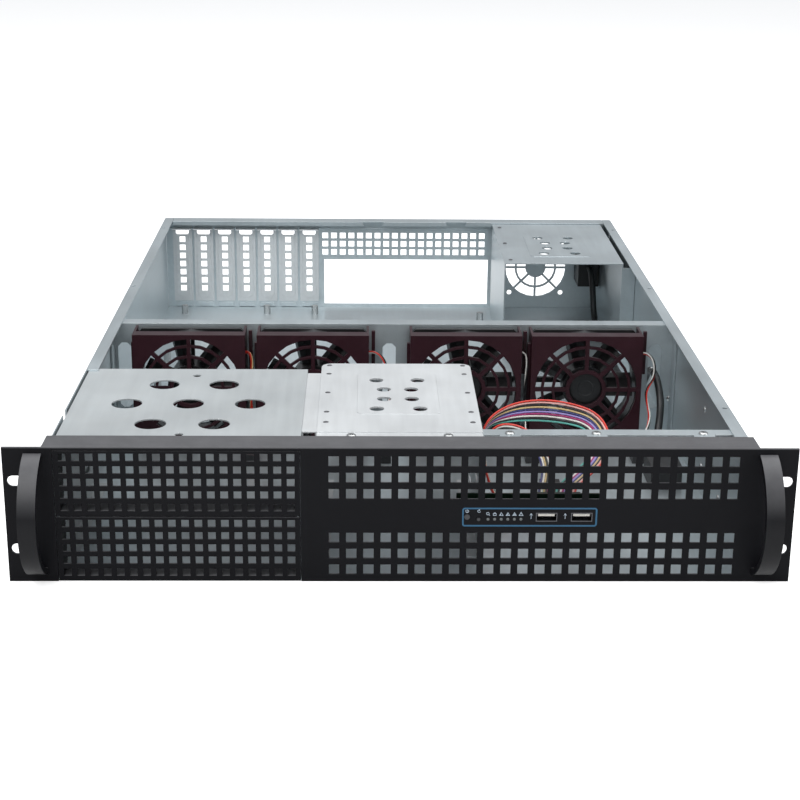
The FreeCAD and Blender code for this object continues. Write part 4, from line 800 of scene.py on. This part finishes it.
class CASE_OT_finishes(CaseOperator, bpy.types.Operator):
    """Give every part of the case its material"""

    bl_idname = "case.finishes"
    bl_label = "Finish the case"

    def execute(self, context):
        chosen = {
            "ac_inlet": "InletPlastic", "inlet_plug": "InletPlastic",
            "bay_cage": "PaleZincSheet", "drive_cage": "BrightZincSheet", "cage_strip": "BrightZincSheet",
            "front_panel": "BlackCoat", "control_board": "CircuitBoard", "indicator_lamps": "LampLens",
            "power_button": "ButtonPlastic", "reset_button": "ButtonPlastic",
            "board_standoffs": "PlatedSteel", "top_screws": "PlatedSteel",
        }
        starts = (
            ("handle_", "HandleCoat"), ("bay_cover_", "BlackCoat"), ("fan_bracket_", "MaroonPlastic"),
            ("fan_frame_", "FanPlastic"), ("fan_rotor_", "FanPlastic"), ("usb_socket_", "DarkSteel"),
            # Painted light: the slot covers take the lighter zinc because they stand in more light than the
            # rear panel.
            ("slot_cover_", "BrightZincSheet"),
            ("fan_plug_", "PlugNylon"), ("ribbon_plug_", "InletPlastic"),
        )
        for name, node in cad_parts.items():
            finish = chosen.get(name)
            for start, material in starts:
                if name.startswith(start):
                    finish = material
            node.data.materials.clear()
            node.data.materials.append(MATERIALS[finish or "ZincSheet"])
        return {"FINISHED"}


class CASE_OT_control_print(CaseOperator, bpy.types.Operator):
    """Print the blue line and the signs round the controls"""

    bl_idname = "case.control_print"
    bl_label = "Print the control row"

    def execute(self, context):
        details = context.scene.case_details
        rise = details.print_rise
        left, right, low, high, corner = 37.6, 119.5, 37.3, 48.7, 1.2
        line = []
        for centre, start in (((right - corner, high - corner), 0), ((left + corner, high - corner), 90),
                              ((left + corner, low + corner), 180), ((right - corner, low + corner), 270)):
            line += arc_points(centre, corner, start + 90, start, 4)[::-1]
        mesh = ribbon_of("ControlLine", in_metres(line), details.line_width, rise, closed=True)
        place = Vector((0, FRONT, 0))
        add_piece("control_line", mesh, "BlueInk", place=place)
        thin = 0.28 * MM

        def mark(points, closed=False):
            return ribbon_of("Mark", in_metres(points), thin, rise, closed)

        marks = [
            mark(arc_points((40.1, 46.9), 0.95, 130, 410, 14)), mark([(40.1, 46.6), (40.1, 48.1)]),
            mark(arc_points((47.4, 46.9), 0.85, 60, 350, 14)),
            mark([(47.5, 48.1), (47.9, 47.6), (47.4, 47.1)]),
        ]
        row = LAMP_ROW
        level = LAMP_SIGN_HEIGHT
        marks += [mark(arc_points((row[0] - 0.2, level + 0.2), 0.8, 0, 360, 12)[:-1], True),
                  mark([(row[0] + 0.4, level - 0.4), (row[0] + 1.1, level - 1.1)])]
        marks += [mark([(row[1] - 0.9, level - 1.0), (row[1] + 0.9, level - 1.0), (row[1] + 0.9, level + 0.2),
                        (row[1] - 0.9, level + 0.2)], True),
                  mark(arc_points((row[1], level + 0.2), 0.6, 0, 180, 8))]
        for index in (2, 3, 4):
            x = row[index]
            marks.append(mark([(x - 1.1, level - 1.0), (x + 1.1, level - 1.0), (x, level + 0.9)], True))
            for step in range(index - 1):
                bar = x - 0.35 + 0.35 * step
                marks.append(mark([(bar, level - 0.7), (bar, level - 0.1)]))
        x = row[5]
        marks += [mark([(x - 1.2, level - 1.0), (x + 1.2, level - 1.0), (x, level + 1.1)], True),
                  mark([(x, level - 0.3), (x, level + 0.4)])]
        for x in ARROWS:
            marks += [mark([(x, 45.4), (x, 41.8)]), mark([(x - 0.8, 44.2), (x, 45.4), (x + 0.8, 44.2)])]
        add_piece("control_marks", joined("ControlMarks", marks), "PaleInk", place=place)
        return {"FINISHED"}


class CASE_OT_lamp_lenses(CaseOperator, bpy.types.Operator):
    """Set a lens in each lamp's hole and a face on each socket's tongue"""

    bl_idname = "case.lamp_lenses"
    bl_label = "Set the lamp lenses"

    def execute(self, context):
        lens = lathe("LampDome", in_metres([(0.95, 0), (0.95, 0.12), (0.6, 0.32), (0, 0.38)]), 16)
        add_row("lamp_lens", lens, "LampLens", [at(x, 0, LAMP_HEIGHT) for x in LAMP_ROW], FACE_FRONT,
                smooth=True)
        half, high = 5.1 * MM, 1.5 * MM
        tongue = quad("SocketTongue", [(-half, 0, 0), (half, 0, 0), (half, 0, high), (-half, 0, high)])
        for index in (1, 2):
            low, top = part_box("usb_socket_%d" % index)
            place = Vector(((low[0] + top[0]) / 2, low[1] + 1.34 * MM, SOCKET_TONGUE_HEIGHT * MM))
            add_piece("socket_%d_tongue_face" % index, tongue, "PinPlastic", place)
        return {"FINISHED"}


class CASE_OT_screws(CaseOperator, bpy.types.Operator):
    """Drive the screws and rivets that hold the sheets together"""

    bl_idname = "case.screws"
    bl_label = "Drive the screws"

    def execute(self, context):
        details = context.scene.case_details
        screw = screw_mesh("PanScrew", details.screw_radius, 1.3 * MM)
        small = screw_mesh("SmallScrew", details.screw_radius * 0.75, 1.0 * MM)
        rivet = dome_mesh("Rivet", details.rivet_radius, 0.8 * MM)
        cage_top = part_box("bay_cage")[1][2] / MM
        tops = [(-31.0, 26.6, cage_top - 0.8), (29.2, 26.6, cage_top - 0.8)]
        tops += [(x, 29.8, cage_top) for x in (67.4, 121.4, 188.2)]
        heads = add_row("top_screw_head", screw, "PlatedSteel", [at(*spot) for spot in tops])
        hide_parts("top_screws")
        dimple = dome_mesh("Dimple", 1.8 * MM, 0.3 * MM)
        places = [at(x, y, cage_top) for x in (-47.2, 45.8) for y in (170.5, 151, 110, 70.5, 50.5)]
        add_row("drive_cage_dimple", dimple, "DarkSteel", places, smooth=True)
        low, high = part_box("rear_cage")
        left, right, top = low[0] / MM, high[0] / MM, high[2] / MM
        places = [at(x, y, top) for x in (left + 6, right - 6) for y in (482, 545, 610)]
        add_row("rear_cage_dimple", dimple, "PlatedSteel", places, smooth=True)
        wall = HALF_BODY / MM - 1.2
        spots = ((90, 20), (90, 62), (150, 20), (150, 62), (300, 30), (420, 30), (560, 30))
        places = [at(wall, y, z) for y, z in spots]
        add_row("right_wall_rivet", rivet, "PlatedSteel", places, FACE_LEFT, smooth=True)
        wall_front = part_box("fan_wall")[0][1] + 14 * MM
        spots = ((198.2, 51.3), (212.8, 27.9), (-207.6, 27.9))
        places = [Vector((x * MM, wall_front, z * MM)) for x, z in spots]
        add_row("wall_screw", small, "PlatedSteel", places, FACE_FRONT)
        return {"FINISHED"}


class CASE_OT_fan_fittings(CaseOperator, bpy.types.Operator):
    """Fit pins and hub caps to the four fans"""

    bl_idname = "case.fan_fittings"
    bl_label = "Fit the fans out"

    def execute(self, context):
        pin = lathe("FanPin", in_metres([
            (0, 0), (2.0, 0), (2.0, 2.0), (1.4, 2.6), (1.4, 6.0), (2.2, 6.4), (2.2, 8.6), (1.2, 9.6),
            (0, 9.8),
        ]), 18)
        cap = lathe("HubCap", in_metres([
            (0, 0), (12.0, 0), (12.0, 0.25), (11.4, 0.45), (6.0, 0.5), (5.6, 0.35), (0, 0.35),
        ]), 40)
        up = (FAN_HEIGHT + FAN_SCREW_HOLE) * MM
        for index, (low, high) in FANS:
            middle = (low[0] + high[0]) / 2
            add_piece("fan_%d_hub_cap" % index, cap, "FanPlastic", Vector((middle, low[1], FAN_HEIGHT * MM)),
                      FACE_FRONT, body="rotor_%d" % index)
            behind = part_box("fan_frame_%d" % index)[0][1] + 4.1 * MM
            for side, word in ((-1, "left"), (1, "right")):
                spot = Vector((middle + FAN_SCREW_HOLE * MM * side, behind, up))
                add_piece("fan_%d_pin_%s" % (index, word), pin, "PinPlastic", spot, FACE_REAR)
        return {"FINISHED"}


class CASE_OT_stage(CaseOperator, bpy.types.Operator):
    """Set the floor, lamps and camera"""

    bl_idname = "case.stage"
    bl_label = "Set the stage"

    def execute(self, context):
        settings = context.scene.case_stage
        self.lay_floor()
        self.light_world(context.scene)
        self.hang_lamps(settings)
        self.place_camera(context.scene, settings)
        return {"FINISHED"}

    def lay_floor(self):
        half = 9.0
        mesh = quad("Floor", [(-half, -half, 0), (half, -half, 0), (half, half, 0), (-half, half, 0)])
        floor = bpy.data.objects.new("floor", mesh)
        bpy.context.scene.collection.objects.link(floor)
        floor.location.z = -0.0002
        material = bpy.data.materials.new("PaleFloor")
        material.use_nodes = True
        tree = material.node_tree
        shader = tree.nodes["Principled BSDF"]
        shader.inputs["Roughness"].default_value = 0.9
        grain = noise(tree, object_vector(tree), 30.0)
        base = mixed(tree, grain, (0.80, 0.80, 0.80, 1.0), (0.84, 0.84, 0.84, 1.0))
        tree.links.new(base, shader.inputs["Base Color"])
        shader.inputs["Emission Color"].default_value = (1.0, 1.0, 1.0, 1.0)
        rays = tree.nodes.new("ShaderNodeLightPath")
        seen = maths(tree, "MULTIPLY", rays.outputs["Is Camera Ray"], 0.55)
        tree.links.new(seen, shader.inputs["Emission Strength"])
        mesh.materials.append(material)

    def light_world(self, scene):
        world = bpy.data.worlds.new("Studio")
        scene.world = world
        world.use_nodes = True
        tree = world.node_tree
        tree.nodes.clear()
        out = tree.nodes.new("ShaderNodeOutputWorld")
        mix = tree.nodes.new("ShaderNodeMixShader")
        lit = tree.nodes.new("ShaderNodeBackground")
        lit.inputs["Color"].default_value = (0.93, 0.96, 1.0, 1.0)
        lit.inputs["Strength"].default_value = 0.42
        seen = tree.nodes.new("ShaderNodeBackground")
        seen.inputs["Color"].default_value = (1.0, 1.0, 1.0, 1.0)
        seen.inputs["Strength"].default_value = 1.0
        rays = tree.nodes.new("ShaderNodeLightPath")
        sees = maths(tree, "MAXIMUM", rays.outputs["Is Camera Ray"], rays.outputs["Is Transmission Ray"])
        tree.links.new(sees, mix.inputs[0])
        tree.links.new(lit.outputs[0], mix.inputs[1])
        tree.links.new(seen.outputs[0], mix.inputs[2])
        tree.links.new(mix.outputs[0], out.inputs[0])

    def hang_lamps(self, settings):
        aim = Vector((0, 0, 0.04))
        lamps = (
            ("key_lamp", (-0.9, -1.3, 1.9), 1.6, settings.key_power),
            ("top_lamp", (0.2, 0.5, 2.0), 1.8, settings.key_power * 0.8),
            ("right_lamp", (1.7, -0.6, 1.0), 1.2, settings.fill_power),
            ("front_lamp", (0.1, -2.2, 1.1), 1.4, settings.fill_power * 0.5),
        )
        for name, place, across, power in lamps:
            light = bpy.data.lights.new(name, "AREA")
            light.shape = "SQUARE"
            light.size = across
            light.energy = power
            lamp = bpy.data.objects.new(name, light)
            bpy.context.scene.collection.objects.link(lamp)
            lamp.location = place
            lamp.rotation_euler = (aim - Vector(place)).to_track_quat("-Z", "Y").to_euler()

    def place_camera(self, scene, settings):
        pitch, yaw, roll = settings.camera_pitch, settings.camera_yaw, settings.camera_roll
        forward = Vector((math.sin(yaw) * math.cos(pitch), math.cos(yaw) * math.cos(pitch), -math.sin(pitch)))
        right = forward.cross(Vector((0, 0, 1))).normalized()
        up = right.cross(forward)
        leaned = right * math.cos(roll) + up * math.sin(roll)
        raised = up * math.cos(roll) - right * math.sin(roll)
        camera_data = bpy.data.cameras.new("Camera")
        camera_data.lens = settings.lens
        camera_data.sensor_width = 36.0
        camera_data.clip_end = 50.0
        camera = bpy.data.objects.new("Camera", camera_data)
        scene.collection.objects.link(camera)
        axes = Matrix((leaned, raised, -forward)).transposed()
        camera.matrix_world = Matrix.Translation(Vector(settings.camera_place)) @ axes.to_4x4()
        scene.camera = camera
        scene.view_settings.view_transform = "Standard"


# ---------------------------------------------------------------------- panel

PIECE_OPERATORS = (
    CASE_OT_materials,
    CASE_OT_cords,
    CASE_OT_finishes,
    CASE_OT_control_print,
    CASE_OT_lamp_lenses,
    CASE_OT_screws,
    CASE_OT_fan_fittings,
)


class CASE_PT_sidebar(bpy.types.Panel):
    """Lists the case's settings and pieces"""

    bl_label = "Server case"
    bl_space_type = "VIEW_3D"
    bl_region_type = "UI"
    bl_category = "Server case"

    def draw(self, context):
        for group in (context.scene.case_finish, context.scene.case_details, context.scene.case_stage):
            box = self.layout.box()
            for field in group.bl_rna.properties:
                if field.identifier not in {"rna_type", "name"}:
                    box.prop(group, field.identifier)
        for operator in PIECE_OPERATORS + (CASE_OT_stage,):
            self.layout.operator(operator.bl_idname)


SETTINGS = (
    ("case_finish", CaseFinishSettings),
    ("case_details", CaseDetailSettings),
    ("case_stage", CaseStageSettings),
)


def register():
    for name, group in SETTINGS:
        bpy.utils.register_class(group)
        setattr(bpy.types.Scene, name, bpy.props.PointerProperty(type=group))
    for operator in PIECE_OPERATORS + (CASE_OT_stage,):
        bpy.utils.register_class(operator)
    bpy.utils.register_class(CASE_PT_sidebar)


def unregister():
    bpy.utils.unregister_class(CASE_PT_sidebar)
    for operator in reversed(PIECE_OPERATORS + (CASE_OT_stage,)):
        bpy.utils.unregister_class(operator)
    for name, group in reversed(SETTINGS):
        delattr(bpy.types.Scene, name)
        bpy.utils.unregister_class(group)


def main():
    register()
    bpy.ops.case.stage()
    for operator in PIECE_OPERATORS:
        group, word = operator.bl_idname.split(".")
        getattr(getattr(bpy.ops, group), word)()
    bpy.context.view_layer.update()


if __name__ == "__main__":
    main()
